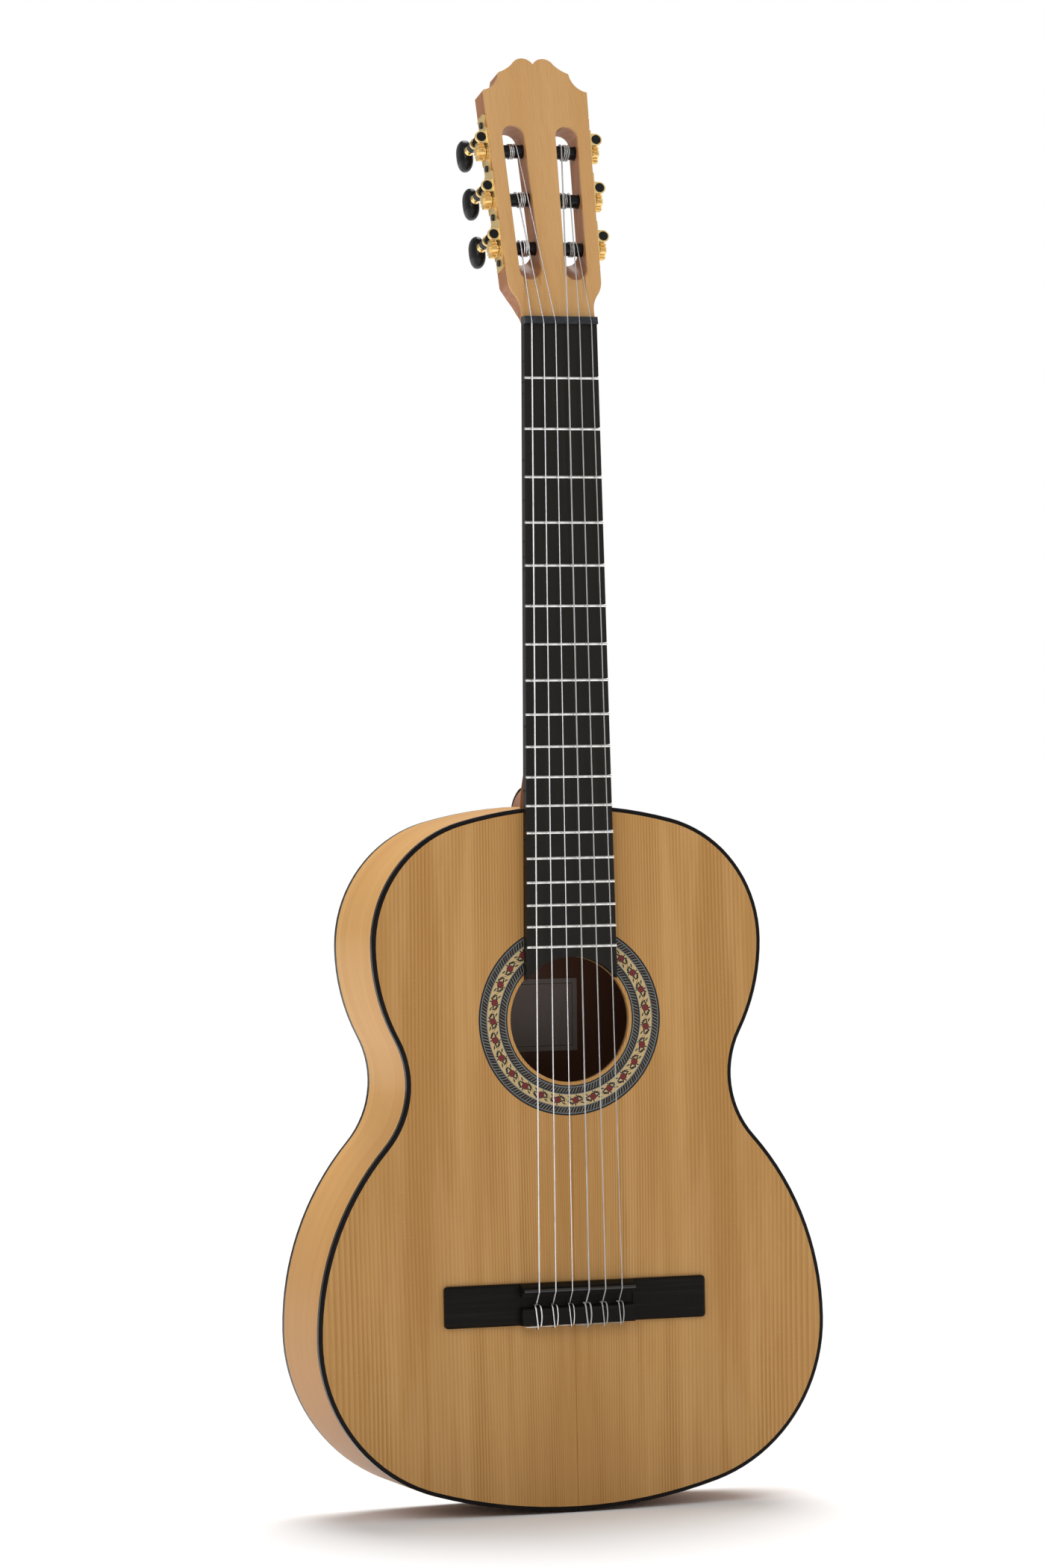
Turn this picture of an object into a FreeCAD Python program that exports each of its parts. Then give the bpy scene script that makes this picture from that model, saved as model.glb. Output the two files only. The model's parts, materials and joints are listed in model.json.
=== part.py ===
"""A flamenco guitar, built piece by piece in millimetres.

The frame: X points to the treble side, Y to the back of the guitar and Z up along the neck.
The origin is the nut's front edge on the centre line, in the plane of the soundboard's face.
"""
import FreeCAD
import Part
import math
import os

V = FreeCAD.Vector
ACROSS = V(1, 0, 0)
BACKWARD = V(0, 1, 0)
UPWARD = V(0, 0, 1)

# Strings and frets: bass E first, treble e last
SCALE = 650.0
FRET_COUNT = 18
BODY_FRET = 12
STRING_DIAMETERS = {1: 1.09, 2: 0.89, 3: 0.74, 4: 1.02, 5: 0.82, 6: 0.71}
STRING_SPAN_AT_NUT = 42.8
STRING_SPAN_AT_SADDLE = 59.3
STRING_HEIGHT_AT_NUT = 8.2
ACTION_AT_BODY_FRET = 2.6
FRET_WIDTH = 2.2
FRET_CROWN = 1.1
TANG_WIDTH = 0.5
TANG_DEPTH = 1.8
SADDLE_SETBACK = 1.0

# Body outline, right half, from the neck end to the tail
BODY_LENGTH = 476.0
UPPER_BOUT_WIDTH = 278.4
UPPER_BOUT_DROP = 93.0
UPPER_SHOULDER_RADIUS = 86.0
UPPER_FLANK_RADIUS = 133.0
WAIST_RADIUS = 62.6
LOWER_BOUT_WIDTH = 361.8
LOWER_BOUT_RISE = 122.0
LOWER_FLANK_RADIUS = 190.0
LOWER_CORNER_RADIUS = 112.0

# Body depth, plates and trim
BODY_DEPTH = 91.0
BACK_DOME_RADIUS = 4600.0
TOP_THICKNESS = 2.4
BACK_THICKNESS = 2.6
SIDE_WALL = 2.2
BINDING_WIDTH = 2.8
BINDING_DEPTH = 4.5
BINDING_BEVEL = 0.7
LINING_WIDTH = 5.5
LINING_HEIGHT = 14.0
HOLE_RADIUS = 42.4
HOLE_DROP = 144.5
ROSETTE_INNER = 44.7
ROSETTE_VINE_INNER = 50.7
ROSETTE_VINE_OUTER = 59.0
ROSETTE_OUTER = 65.0
ROSETTE_DEPTH = 1.0

# Bracing and blocks inside the body
HARMONIC_BAR_WIDTH = 6.0
HARMONIC_BAR_HEIGHT = 18.0
HARMONIC_BAR_END = 4.0
HARMONIC_BAR_SCALLOP = 45.0
UPPER_BAR_GAP = 17.0
LOWER_BAR_GAP = 20.0
PATCH_WIDTH = 14.0
PATCH_THICKNESS = 1.5
FAN_COUNT = 7
FAN_SPACING_TOP = 21.0
FAN_SPACING_TAIL = 41.0
FAN_WIDTH = 5.0
FAN_HEIGHT = 5.0
FAN_START_GAP = 6.0
FAN_END_GAP = 40.0
BACK_BAR_WIDTH = 8.0
BACK_BAR_HEIGHT = 14.0
BACK_BAR_SHARES = (0.19, 0.47, 0.76)
TAIL_BLOCK_WIDTH = 68.0
TAIL_BLOCK_DEPTH = 18.0
LABEL_WIDTH = 72.0
LABEL_HEIGHT = 50.0
LABEL_THICKNESS = 0.3
LABEL_GLUE = 0.2

# Neck and heel
NUT_LENGTH = 52.0
NUT_THICKNESS = 5.1
NUT_HEIGHT = 9.3
NUT_TOP_SLOPE = 15.0
BOARD_WIDTH_AT_BODY = 61.3
BOARD_THICKNESS = 6.5
NECK_DEPTH_AT_NUT = 15.5
NECK_DEPTH_AT_HEEL = 18.0
NECK_FLAT_SHARE = 0.65
NECK_ROUND_SHARE = 0.62
HEEL_REACHES = (62.0, 43.5, 32.0, 23.0, 16.5, 13.5)
HEEL_DEPTH_SHARES = (0.12, 0.235, 0.33, 0.48, 0.73, 1.0)
HEEL_HALF_WIDTHS = (29.5, 26.5, 23.5, 19.0, 13.5, 10.5)
HEEL_NOSE_SHARE = 0.62
HEEL_CAP_THICKNESS = 2.5
TONGUE_WIDTH = 24.0
SLIPPER_WIDTH = 70.0
SLIPPER_DEPTH = 33.0
SLIPPER_TOE = 27.0
SLIPPER_TOE_HEIGHT = 18.0

# Headstock, in its own plane: across, and along from the nut
HEAD_TILT = 14.0
HEAD_THICKNESS = 19.0
VENEER_THICKNESS = 2.3
HEAD_NECK_RUN = 5.0
HEAD_SHOULDER_END = 27.0
HEAD_SHOULDER_WIDTH = 66.8
HEAD_SIDE_END = 163.0
HEAD_TOP_WIDTH = 74.8
CREST_HEIGHT = 23.6
CREST_SCOOP_SHARES = ((0.762, 0.225), (0.676, 0.555))
CREST_WAVE_SHARES = ((0.529, 0.665), (0.401, 0.822))
CREST_LOBE_SHARES = ((0.219, 1.0), (0.0, 0.826))
BACK_EDGE_ROUND = 1.5
SCARF_START = 1.0
SLOT_WIDTH = 16.0
SLOT_INSET = 17.2
SLOT_START = -2.0
SLOT_END = 110.3
RAMP_RUN = 18.0
LEAD_LENGTH = 9.0
LEAD_DEPTH = 1.6
LEAD_WIDTH = 12.0

# Bridge and saddle
BRIDGE_LENGTH = 186.4
BRIDGE_WIDTH = 28.2
BRIDGE_FRONT_GAP = 4.8
WING_THICKNESS = 4.0
WING_BEVEL = 1.6
WING_CORNER = 2.5
BLOCK_LENGTH = 80.6
SADDLE_BLOCK_HEIGHT = 8.6
SADDLE_BLOCK_WIDTH = 8.8
SADDLE_BLOCK_BEVEL = 2.0
TIE_BLOCK_HEIGHT = 9.0
TIE_BLOCK_WIDTH = 11.8
TIE_BLOCK_BEVEL = 0.8
VALLEY_HEIGHT = 3.2
TIE_HOLE_RADIUS = 0.95
TIE_HOLE_HEIGHT = 5.0
SADDLE_LENGTH = 79.6
SADDLE_THICKNESS = 2.6
SADDLE_SEAT = 2.6
SLOT_CLEARANCE = 0.05

# Tuning machines, in the frame of the head's side: out from it, depth, way along it
ROLLER_COUNT = 3
ROLLER_FIRST = 24.5
ROLLER_PITCH = 35.0
ROLLER_DEPTH = 9.5
JOURNAL_RADIUS = 5.0
RUNNING_CLEARANCE = 0.05
BARREL_RADIUS = 4.6
BARREL_RELIEF = 0.3
BLIND_DEPTH = 6.0
END_GAP = 0.3
SPINDLE_RADIUS = 2.2
PLATE_THICKNESS = 1.2
PLATE_EDGE = 1.4
PLATE_WIDTH = 16.2
PLATE_OVERHANG_LOW = 15.5
PLATE_OVERHANG_HIGH = 25.5
PLATE_END_ROUND = 4.0
PLATE_BITE = 5.0
PLATE_BITE_DEPTH = 2.6
GEAR_TEETH = 14
GEAR_MODULE = 0.8
GEAR_FACE = 4.0
GEAR_STANDOFF = 3.0
GEAR_HUB_RADIUS = 3.5
GEAR_HUB_GAP = 0.3
GEAR_CLEARANCE = 0.9
TOOTH_TIP_SHARE = 0.24
TOOTH_ROOT_SHARE = 0.56
GEAR_SCREW_RADIUS = 2.7
GEAR_SCREW_HEIGHT = 1.1
WORM_PITCH_RADIUS = 2.8
WORM_OUTER_RADIUS = 3.2
WORM_ROOT_RADIUS = 1.8
THREAD_TIP_SHARE = 0.18
THREAD_ROOT_SHARE = 0.42
THREAD_LENGTH = 5.0
THREAD_SINK = 0.2
CAP_RADIUS = 3.25
CAP_FRONT = 2.0
CAP_END = 5.1
FRONT_LUG = 2.4
LUG_THICKNESS = 2.0
FRONT_LUG_RADIUS = 4.2
REAR_LUG = 15.4
REAR_LUG_RADIUS = 3.7
REAR_JOURNAL_RADIUS = 2.6
REAR_JOURNAL_START = 14.9
COLLAR_RADIUS = 3.2
COLLAR_END = 24.5
COLLAR_RIBS = 2
COLLAR_GROOVE = 0.5
FERRULE_LENGTH = 7.5
FERRULE_RADIUS = 3.3
FERRULE_WAIST_RADIUS = 2.5
FERRULE_SHARES = (0.12, 0.34, 0.55, 0.75)
STEM_RADIUS = 1.5
STEM_LENGTH = 8.0
BUTTON_LENGTH = 22.0
BUTTON_THICKNESS = 10.0
BUTTON_HEIGHT = 16.0
BUTTON_SHARES = ((0.5, 0.46), (0.36, 0.9), (0.16, 1.0), (-0.16, 1.0), (-0.36, 0.9), (-0.5, 0.46))
BUTTON_SECTION_SHARES = ((0.5, -0.16), (0.5, 0.16), (0.26, 0.5), (-0.26, 0.5),
                         (-0.5, 0.16), (-0.5, -0.16), (-0.26, -0.5), (0.26, -0.5))
SCREW_BELOW = 10.3
SCREW_ABOVE = 22.6
SCREW_LAST = 19.0
SCREW_SHANK_RADIUS = 1.2
SCREW_HEAD_RADIUS = 2.3
SCREW_HEAD_HEIGHT = 1.1
SCREW_LENGTH = 7.5

# Strings at the head and at the tie block
WRAP_TURN = 190.0
WRAP_CLEARANCE = 0.3
WRAP_OFFSETS = (3.4, 0.9, -2.9)
COIL_TURNS = 3
COIL_SPACE = 0.5
COIL_SEAT = 0.1
NUT_BREAK = 1.0
NUT_SLOT_SLOPE = 26.0
NUT_SLOT_FLOOR_GAP = 0.15
NUT_SLOT_SIDE_GAP = 0.15
STRING_SEAT = 0.05
KNOT_SPACE = 0.75
KNOT_BEND = 2.5
NUT_BEND = 9.0
KNOT_SEAT = 0.25
KNOT_LEAD = 1.9
KNOT_BULGE_SHARE = 1.5
TAIL_LENGTH = 8.0
CORNER_SHARE = 0.45
STRAIGHT_ENOUGH = 1e-6

# One overrun serves every cut
OVERRUN = 5.0


def fret_drop(number):
    """How far a fret lies below the nut."""
    return SCALE * (1 - 2 ** (-number / 12.0))


def mirror_x(shape):
    return shape.mirror(V(0, 0, 0), ACROSS)


def block(x_low, x_high, y_low, y_high, z_low, z_high):
    """A box between two corners."""
    size = V(x_high - x_low, y_high - y_low, z_high - z_low)
    return Part.makeBox(size.x, size.y, size.z, V(x_low, y_low, z_low))


def one_solid(shape):
    """The largest solid of a result, cleaned of leftover seams."""
    clean = shape.removeSplitter()
    return max(clean.Solids, key=lambda solid: solid.Volume)


def together(solids):
    return Part.makeCompound(solids)


NECK_JOINT_Z = -fret_drop(BODY_FRET)
TAIL_Z = NECK_JOINT_Z - BODY_LENGTH
HOLE_Z = NECK_JOINT_Z - HOLE_DROP


def arc_about(centre, radius, start, end):
    """The short arc about a centre between two points given by their directions."""
    first = (start - centre).normalize()
    last = (end - centre).normalize()
    middle = (first + last).normalize()
    return Part.Arc(centre + first * radius, centre + middle * radius, centre + last * radius)


def body_centres(y):
    """Centres of the seven tangent arcs of the outline's right half, from neck end to tail."""
    upper_half = UPPER_BOUT_WIDTH / 2
    lower_half = LOWER_BOUT_WIDTH / 2
    upper_z = NECK_JOINT_Z - UPPER_BOUT_DROP
    lower_z = TAIL_Z + LOWER_BOUT_RISE
    shoulder = V(upper_half - UPPER_SHOULDER_RADIUS, y, upper_z)
    upper_flank = V(upper_half - UPPER_FLANK_RADIUS, y, upper_z)
    lower_flank = V(lower_half - LOWER_FLANK_RADIUS, y, lower_z)
    corner = V(lower_half - LOWER_CORNER_RADIUS, y, lower_z)
    neck_radius = end_radius(shoulder.x, UPPER_SHOULDER_RADIUS, UPPER_BOUT_DROP)
    tail_radius = end_radius(corner.x, LOWER_CORNER_RADIUS, LOWER_BOUT_RISE)
    waist = meeting_point(upper_flank, UPPER_FLANK_RADIUS + WAIST_RADIUS,
                          lower_flank, LOWER_FLANK_RADIUS + WAIST_RADIUS)
    neck_end = V(0, y, NECK_JOINT_Z - neck_radius)
    tail_end = V(0, y, TAIL_Z + tail_radius)
    centres = (neck_end, shoulder, upper_flank, waist, lower_flank, corner, tail_end)
    radii = (neck_radius, UPPER_SHOULDER_RADIUS, UPPER_FLANK_RADIUS, WAIST_RADIUS,
             LOWER_FLANK_RADIUS, LOWER_CORNER_RADIUS, tail_radius)
    return centres, radii


def end_radius(offset, radius, rise):
    """Radius of the end arc that runs square to the centre line and is tangent to a corner arc."""
    return (offset ** 2 + rise ** 2 - radius ** 2) / (2 * (rise - radius))


def meeting_point(first, first_reach, second, second_reach):
    """The outer point at given distances from two centres."""
    link = second - first
    length = link.Length
    along = (first_reach ** 2 - second_reach ** 2 + length ** 2) / (2 * length)
    aside = math.sqrt(first_reach ** 2 - along ** 2)
    direction = V(link.x / length, 0, link.z / length)
    normal = V(-direction.z, 0, direction.x)
    return first + direction * along + normal * aside


def body_wire(inset, y=0.0):
    """The body's outline, drawn in from its edge by an inset."""
    centres, radii = body_centres(y)
    neck_end, shoulder, upper_flank, waist, lower_flank, corner, tail_end = centres
    sizes = [radius - inset for radius in radii]
    sizes[3] = radii[3] + inset
    upper_widest = V(UPPER_BOUT_WIDTH / 2, y, shoulder.z)
    lower_widest = V(LOWER_BOUT_WIDTH / 2, y, corner.z)
    shoulder_way = shoulder + (shoulder - neck_end)
    corner_way = corner + (corner - tail_end)
    right = [
        arc_about(shoulder, sizes[1], shoulder_way, upper_widest),
        arc_about(upper_flank, sizes[2], upper_widest, waist),
        arc_about(waist, sizes[3], upper_flank, lower_flank),
        arc_about(lower_flank, sizes[4], waist, lower_widest),
        arc_about(corner, sizes[5], lower_widest, corner_way)]
    edges = [arc.toShape() for arc in right]
    edges += [mirror_x(edge) for edge in edges]
    left_shoulder = V(-shoulder.x, y, shoulder.z)
    left_corner = V(-corner.x, y, corner.z)
    edges.append(arc_about(neck_end, sizes[0], shoulder, left_shoulder).toShape())
    edges.append(arc_about(tail_end, sizes[6], corner, left_corner).toShape())
    return Part.Wire(Part.sortEdges(edges)[0])


def body_prism(inset, y_low, y_high):
    """The outline as a solid between two depths."""
    face = Part.Face(body_wire(inset, y_low))
    return face.extrude(BACKWARD * (y_high - y_low)).Solids[0]


def body_ring(inset_outer, inset_inner, y_low, y_high):
    """A wall that follows the outline."""
    outer = body_prism(inset_outer, y_low, y_high)
    inner = body_prism(inset_inner, y_low - OVERRUN, y_high + OVERRUN)
    return outer.cut(inner)


def back_dome(inset):
    """The ball whose surface is the arched back, or a layer inside it."""
    centre = V(0, BODY_DEPTH - BACK_DOME_RADIUS, (NECK_JOINT_Z + TAIL_Z) / 2)
    return Part.makeSphere(BACK_DOME_RADIUS - inset, centre, UPWARD)


def dome_depth(x, z, inset=0.0):
    """Depth of the arched back at one place of the body."""
    reach = BACK_DOME_RADIUS - inset
    run = x ** 2 + (z - (NECK_JOINT_Z + TAIL_Z) / 2) ** 2
    return BODY_DEPTH - BACK_DOME_RADIUS + math.sqrt(reach ** 2 - run)


def bevel_outer_rim(ring):
    """Ease the outer front edge of the top binding."""
    outline = body_wire(0.0)
    rim = [edge for edge in ring.Edges
           if edge.BoundBox.YMax < BINDING_BEVEL / 2
           and outline.distToShape(edge)[0] < BINDING_BEVEL / 2]
    return ring.makeChamfer(BINDING_BEVEL, rim)


def neck_passage():
    """The gap in the ribs and the front binding that the neck's tongue fills."""
    return block(-TONGUE_WIDTH / 2, TONGUE_WIDTH / 2, -OVERRUN, BODY_DEPTH + OVERRUN,
                 NECK_JOINT_Z - SLIPPER_DEPTH, NECK_JOINT_Z + OVERRUN)


def inner_space():
    """What lies between the plates and inside the ribs and bindings."""
    space = body_prism(SIDE_WALL, TOP_THICKNESS, BODY_DEPTH).common(back_dome(BACK_THICKNESS))
    front_notch = body_ring(-OVERRUN, BINDING_WIDTH, -OVERRUN, BINDING_DEPTH)
    back_notch = body_ring(-OVERRUN, BINDING_WIDTH, BODY_DEPTH / 2, BODY_DEPTH + OVERRUN)
    return space.cut(front_notch).cut(back_notch.cut(back_dome(BINDING_DEPTH)))


def make_soundboard():
    plate = body_prism(BINDING_WIDTH, 0.0, TOP_THICKNESS)
    centre = V(0, -OVERRUN, HOLE_Z)
    hole = Part.makeCylinder(HOLE_RADIUS, TOP_THICKNESS + 2 * OVERRUN, centre, BACKWARD)
    channel = Part.makeCylinder(ROSETTE_OUTER, ROSETTE_DEPTH + OVERRUN, centre, BACKWARD)
    island = Part.makeCylinder(ROSETTE_INNER, ROSETTE_DEPTH + OVERRUN, centre, BACKWARD)
    return one_solid(plate.cut(hole).cut(channel.cut(island)))


def make_rosette():
    """Three inlaid rings: outer rope, flowering vine and inner rope."""
    radii = (ROSETTE_INNER, ROSETTE_VINE_INNER, ROSETTE_VINE_OUTER, ROSETTE_OUTER)
    discs = [Part.makeCylinder(radius, ROSETTE_DEPTH, V(0, 0, HOLE_Z), BACKWARD) for radius in radii]
    return together([outer.cut(inner) for inner, outer in zip(discs, discs[1:])])


def make_top_binding():
    ring = body_ring(0.0, BINDING_WIDTH, 0.0, BINDING_DEPTH)
    return one_solid(bevel_outer_rim(ring).cut(neck_passage()))


def make_back_plate():
    plate = body_prism(BINDING_WIDTH, BODY_DEPTH / 2, BODY_DEPTH + OVERRUN)
    return one_solid(plate.common(back_dome(0.0)).cut(back_dome(BACK_THICKNESS)))


def make_back_binding():
    ring = body_ring(0.0, BINDING_WIDTH, BODY_DEPTH / 2, BODY_DEPTH + OVERRUN)
    return one_solid(ring.common(back_dome(0.0)).cut(back_dome(BINDING_DEPTH)))


def make_side(sign):
    """One bent rib: +1 is the treble side, -1 the bass side."""
    half = LOWER_BOUT_WIDTH / 2 + OVERRUN
    ring = body_ring(0.0, SIDE_WALL, BINDING_DEPTH, BODY_DEPTH).common(back_dome(BINDING_DEPTH))
    ring = ring.cut(neck_passage())
    keep = block(0, half, -OVERRUN, BODY_DEPTH + OVERRUN, TAIL_Z - OVERRUN, NECK_JOINT_Z + OVERRUN)
    return one_solid(ring.common(keep if sign > 0 else mirror_x(keep)))


def make_linings():
    """Four strips, two along each plate, that stop at the blocks."""
    inner_edge = SIDE_WALL + LINING_WIDTH
    front = body_ring(SIDE_WALL, inner_edge, TOP_THICKNESS, TOP_THICKNESS + LINING_HEIGHT)
    back = body_ring(SIDE_WALL, inner_edge, BODY_DEPTH / 2, BODY_DEPTH)
    back = back.cut(back_dome(BACK_THICKNESS + LINING_HEIGHT))
    space = inner_space().cut(slipper_room()).cut(tail_block_room())
    strips = front.common(space).Solids + back.common(space).Solids
    return together(strips)


def tail_block_room():
    half = TAIL_BLOCK_WIDTH / 2
    return block(-half, half, -OVERRUN, BODY_DEPTH + OVERRUN, TAIL_Z - OVERRUN,
                 TAIL_Z + SIDE_WALL + TAIL_BLOCK_DEPTH)


def make_tail_block():
    return one_solid(inner_space().common(tail_block_room()))


def scalloped_bar(z):
    """A harmonic bar across the soundboard, low at its ends."""
    inner_edge = SIDE_WALL + LINING_WIDTH
    inside = body_prism(inner_edge, TOP_THICKNESS, BODY_DEPTH)
    reach = LOWER_BOUT_WIDTH / 2
    slab = inside.common(block(-reach, reach, TOP_THICKNESS, TOP_THICKNESS + HARMONIC_BAR_HEIGHT,
                               z - HARMONIC_BAR_WIDTH / 2, z + HARMONIC_BAR_WIDTH / 2))
    half = slab.BoundBox.XMax
    top = TOP_THICKNESS + HARMONIC_BAR_HEIGHT
    end = TOP_THICKNESS + HARMONIC_BAR_END
    corners = [V(half + OVERRUN, end, z - OVERRUN), V(half, end, z - OVERRUN),
               V(half - HARMONIC_BAR_SCALLOP, top, z - OVERRUN),
               V(half - HARMONIC_BAR_SCALLOP, top + OVERRUN, z - OVERRUN),
               V(half + OVERRUN, top + OVERRUN, z - OVERRUN)]
    scallop = Part.Face(Part.makePolygon(corners + corners[:1])).extrude(UPWARD * 2 * OVERRUN)
    return one_solid(slab.cut(scallop).cut(mirror_x(scallop)))


def fan_strut(top_x, tail_x, z_top, z_tail):
    """A peaked strut glued under the soundboard."""
    along = V(tail_x - top_x, 0, z_tail - z_top)
    aside = V(-along.z, 0, along.x).normalize() * (FAN_WIDTH / 2)
    foot = V(top_x, TOP_THICKNESS, z_top)
    ridge = foot + BACKWARD * FAN_HEIGHT
    face = Part.Face(Part.makePolygon([foot - aside, foot + aside, ridge, foot - aside]))
    return face.extrude(along)


def make_soundboard_braces():
    upper_z = HOLE_Z + HOLE_RADIUS + UPPER_BAR_GAP
    lower_z = HOLE_Z - HOLE_RADIUS - LOWER_BAR_GAP
    pieces = [scalloped_bar(upper_z), scalloped_bar(lower_z)]
    patch_base = V(0, TOP_THICKNESS, HOLE_Z)
    patch = Part.makeCylinder(HOLE_RADIUS + PATCH_WIDTH, PATCH_THICKNESS, patch_base, BACKWARD)
    pieces.append(patch.cut(Part.makeCylinder(HOLE_RADIUS, PATCH_THICKNESS, patch_base, BACKWARD)))
    z_top = lower_z - HARMONIC_BAR_WIDTH / 2 - FAN_START_GAP
    z_tail = TAIL_Z + FAN_END_GAP
    for index in range(FAN_COUNT):
        place = index - (FAN_COUNT - 1) / 2
        pieces.append(fan_strut(place * FAN_SPACING_TOP, place * FAN_SPACING_TAIL, z_top, z_tail))
    return together(pieces)


def make_back_braces():
    inner_edge = SIDE_WALL + LINING_WIDTH
    layer = body_prism(inner_edge, BODY_DEPTH / 2, BODY_DEPTH).common(back_dome(BACK_THICKNESS))
    layer = layer.cut(back_dome(BACK_THICKNESS + BACK_BAR_HEIGHT))
    reach = LOWER_BOUT_WIDTH / 2
    bars = []
    for share in BACK_BAR_SHARES:
        z = NECK_JOINT_Z - share * BODY_LENGTH
        bars += layer.common(block(-reach, reach, 0, BODY_DEPTH, z - BACK_BAR_WIDTH / 2,
                                   z + BACK_BAR_WIDTH / 2)).Solids
    return together(bars)


def make_label():
    """A blank paper glued to the back under the soundhole."""
    patch = block(-LABEL_WIDTH / 2, LABEL_WIDTH / 2, BODY_DEPTH / 2, BODY_DEPTH,
                  HOLE_Z - LABEL_HEIGHT / 2, HOLE_Z + LABEL_HEIGHT / 2)
    skin = patch.common(back_dome(BACK_THICKNESS + LABEL_GLUE))
    return one_solid(skin.cut(back_dome(BACK_THICKNESS + LABEL_GLUE + LABEL_THICKNESS)))


def board_half(z):
    """Half the fingerboard's width at a height."""
    nut_half = NUT_LENGTH / 2
    return nut_half + (BOARD_WIDTH_AT_BODY / 2 - nut_half) * z / NECK_JOINT_Z


def shaft_section(z, front_half, depth, front=0.0):
    """A neck section of six edges: flat front, slanted sides, two round corners, flat back."""
    back_half = front_half * NECK_FLAT_SHARE
    side = V(back_half - front_half, depth, 0)
    turn = math.atan2(side.y, side.x)
    tangent = min(back_half, side.Length) * NECK_ROUND_SHARE
    start = V(front_half, 0, z) - side * (front / depth)
    corner = V(back_half, depth, z)
    into = corner - side.normalize() * tangent
    out = corner - ACROSS * tangent
    radius = tangent / math.tan((math.pi - turn) / 2)
    inward = V(side.y, -side.x, 0)
    middle_centre = into - inward * radius
    round_middle = middle_centre + (corner - middle_centre).normalize() * radius
    left = [V(-point.x, point.y, point.z) for point in (start, into, round_middle, out)]
    edges = [Part.LineSegment(left[0], start), Part.LineSegment(start, into),
             Part.Arc(into, round_middle, out), Part.LineSegment(out, left[3]),
             Part.Arc(left[3], left[2], left[1]), Part.LineSegment(left[1], left[0])]
    return Part.Wire([edge.toShape() for edge in edges])


def neck_shaft():
    """The tapering half-round shaft from the nut into the heel."""
    low = NECK_JOINT_Z - BINDING_DEPTH
    nut_section = shaft_section(0.0, NUT_LENGTH / 2, NECK_DEPTH_AT_NUT)
    heel_section = shaft_section(low, board_half(low), NECK_DEPTH_AT_HEEL)
    return Part.makeLoft([heel_section, nut_section], True, True)


def heel_wood_depth():
    return dome_depth(0.0, NECK_JOINT_Z) - HEEL_CAP_THICKNESS


def heel_section(depth, half_width, reach):
    """A slice of the heel, square to the depth: two long side arcs meet in a round nose."""
    base_z = NECK_JOINT_Z - BINDING_DEPTH
    rise = reach + BINDING_DEPTH
    nose = half_width * HEEL_NOSE_SHARE
    flank = (half_width ** 2 + (rise - nose) ** 2 - nose ** 2) / (2 * (half_width - nose))
    flank_centre = V(half_width - flank, depth, base_z)
    nose_centre = V(0, depth, base_z + rise - nose)
    join = nose_centre + (nose_centre - flank_centre).normalize() * nose
    foot = V(half_width, depth, base_z)
    right = arc_about(flank_centre, flank, foot, join)
    left_foot = V(-half_width, depth, base_z)
    left_join = V(-join.x, depth, join.z)
    left_centre = V(-flank_centre.x, depth, base_z)
    top = Part.Arc(join, nose_centre + UPWARD * nose, left_join)
    left = arc_about(left_centre, flank, left_join, left_foot)
    base = Part.LineSegment(left_foot, foot)
    return Part.Wire([edge.toShape() for edge in (base, right, top, left)])


def heel_loft():
    wood = heel_wood_depth()
    wires = [heel_section(share * wood, half_width, reach) for share, half_width, reach
             in zip(HEEL_DEPTH_SHARES, HEEL_HALF_WIDTHS, HEEL_REACHES)]
    return Part.makeLoft(wires, True, False)


def slipper_room():
    """The space inside the ribs that the neck's slipper block fills."""
    half = SLIPPER_WIDTH / 2
    top = NECK_JOINT_Z + OVERRUN
    heel = block(-half, half, -OVERRUN, BODY_DEPTH + OVERRUN, NECK_JOINT_Z - SLIPPER_DEPTH, top)
    toe_depth = dome_depth(0.0, NECK_JOINT_Z) - SLIPPER_TOE_HEIGHT
    toe_z = NECK_JOINT_Z - SLIPPER_DEPTH - SLIPPER_TOE
    toe = block(-half, half, toe_depth, BODY_DEPTH + OVERRUN, toe_z, top)
    return heel.fuse(toe)


def neck_tongue():
    """The part of the heel that runs between the two ribs."""
    half = TONGUE_WIDTH / 2
    bar = block(-half, half, 0.0, BODY_DEPTH, NECK_JOINT_Z - BINDING_DEPTH * 2,
                NECK_JOINT_Z + OVERRUN)
    inside = body_prism(0.0, 0.0, BODY_DEPTH).common(back_dome(BINDING_DEPTH))
    return bar.common(inside).cut(body_prism(BINDING_WIDTH, -OVERRUN, TOP_THICKNESS))


def head_point(across, along, depth=0.0):
    """A place on the head: across, along from the nut, and depth behind the veneer's face."""
    tilt = math.radians(HEAD_TILT)
    face_y = -VENEER_THICKNESS / math.cos(tilt)
    return V(across, face_y + along * math.sin(tilt) + depth * math.cos(tilt),
             NUT_THICKNESS + along * math.cos(tilt) - depth * math.sin(tilt))


def head_directions():
    """Unit vectors along the head and into its depth."""
    tilt = math.radians(HEAD_TILT)
    return V(0, math.sin(tilt), math.cos(tilt)), V(0, math.cos(tilt), -math.sin(tilt))


def crest_point(share_pair):
    across, up = share_pair
    return (HEAD_TOP_WIDTH / 2 * across, HEAD_SIDE_END + CREST_HEIGHT * up)


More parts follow.
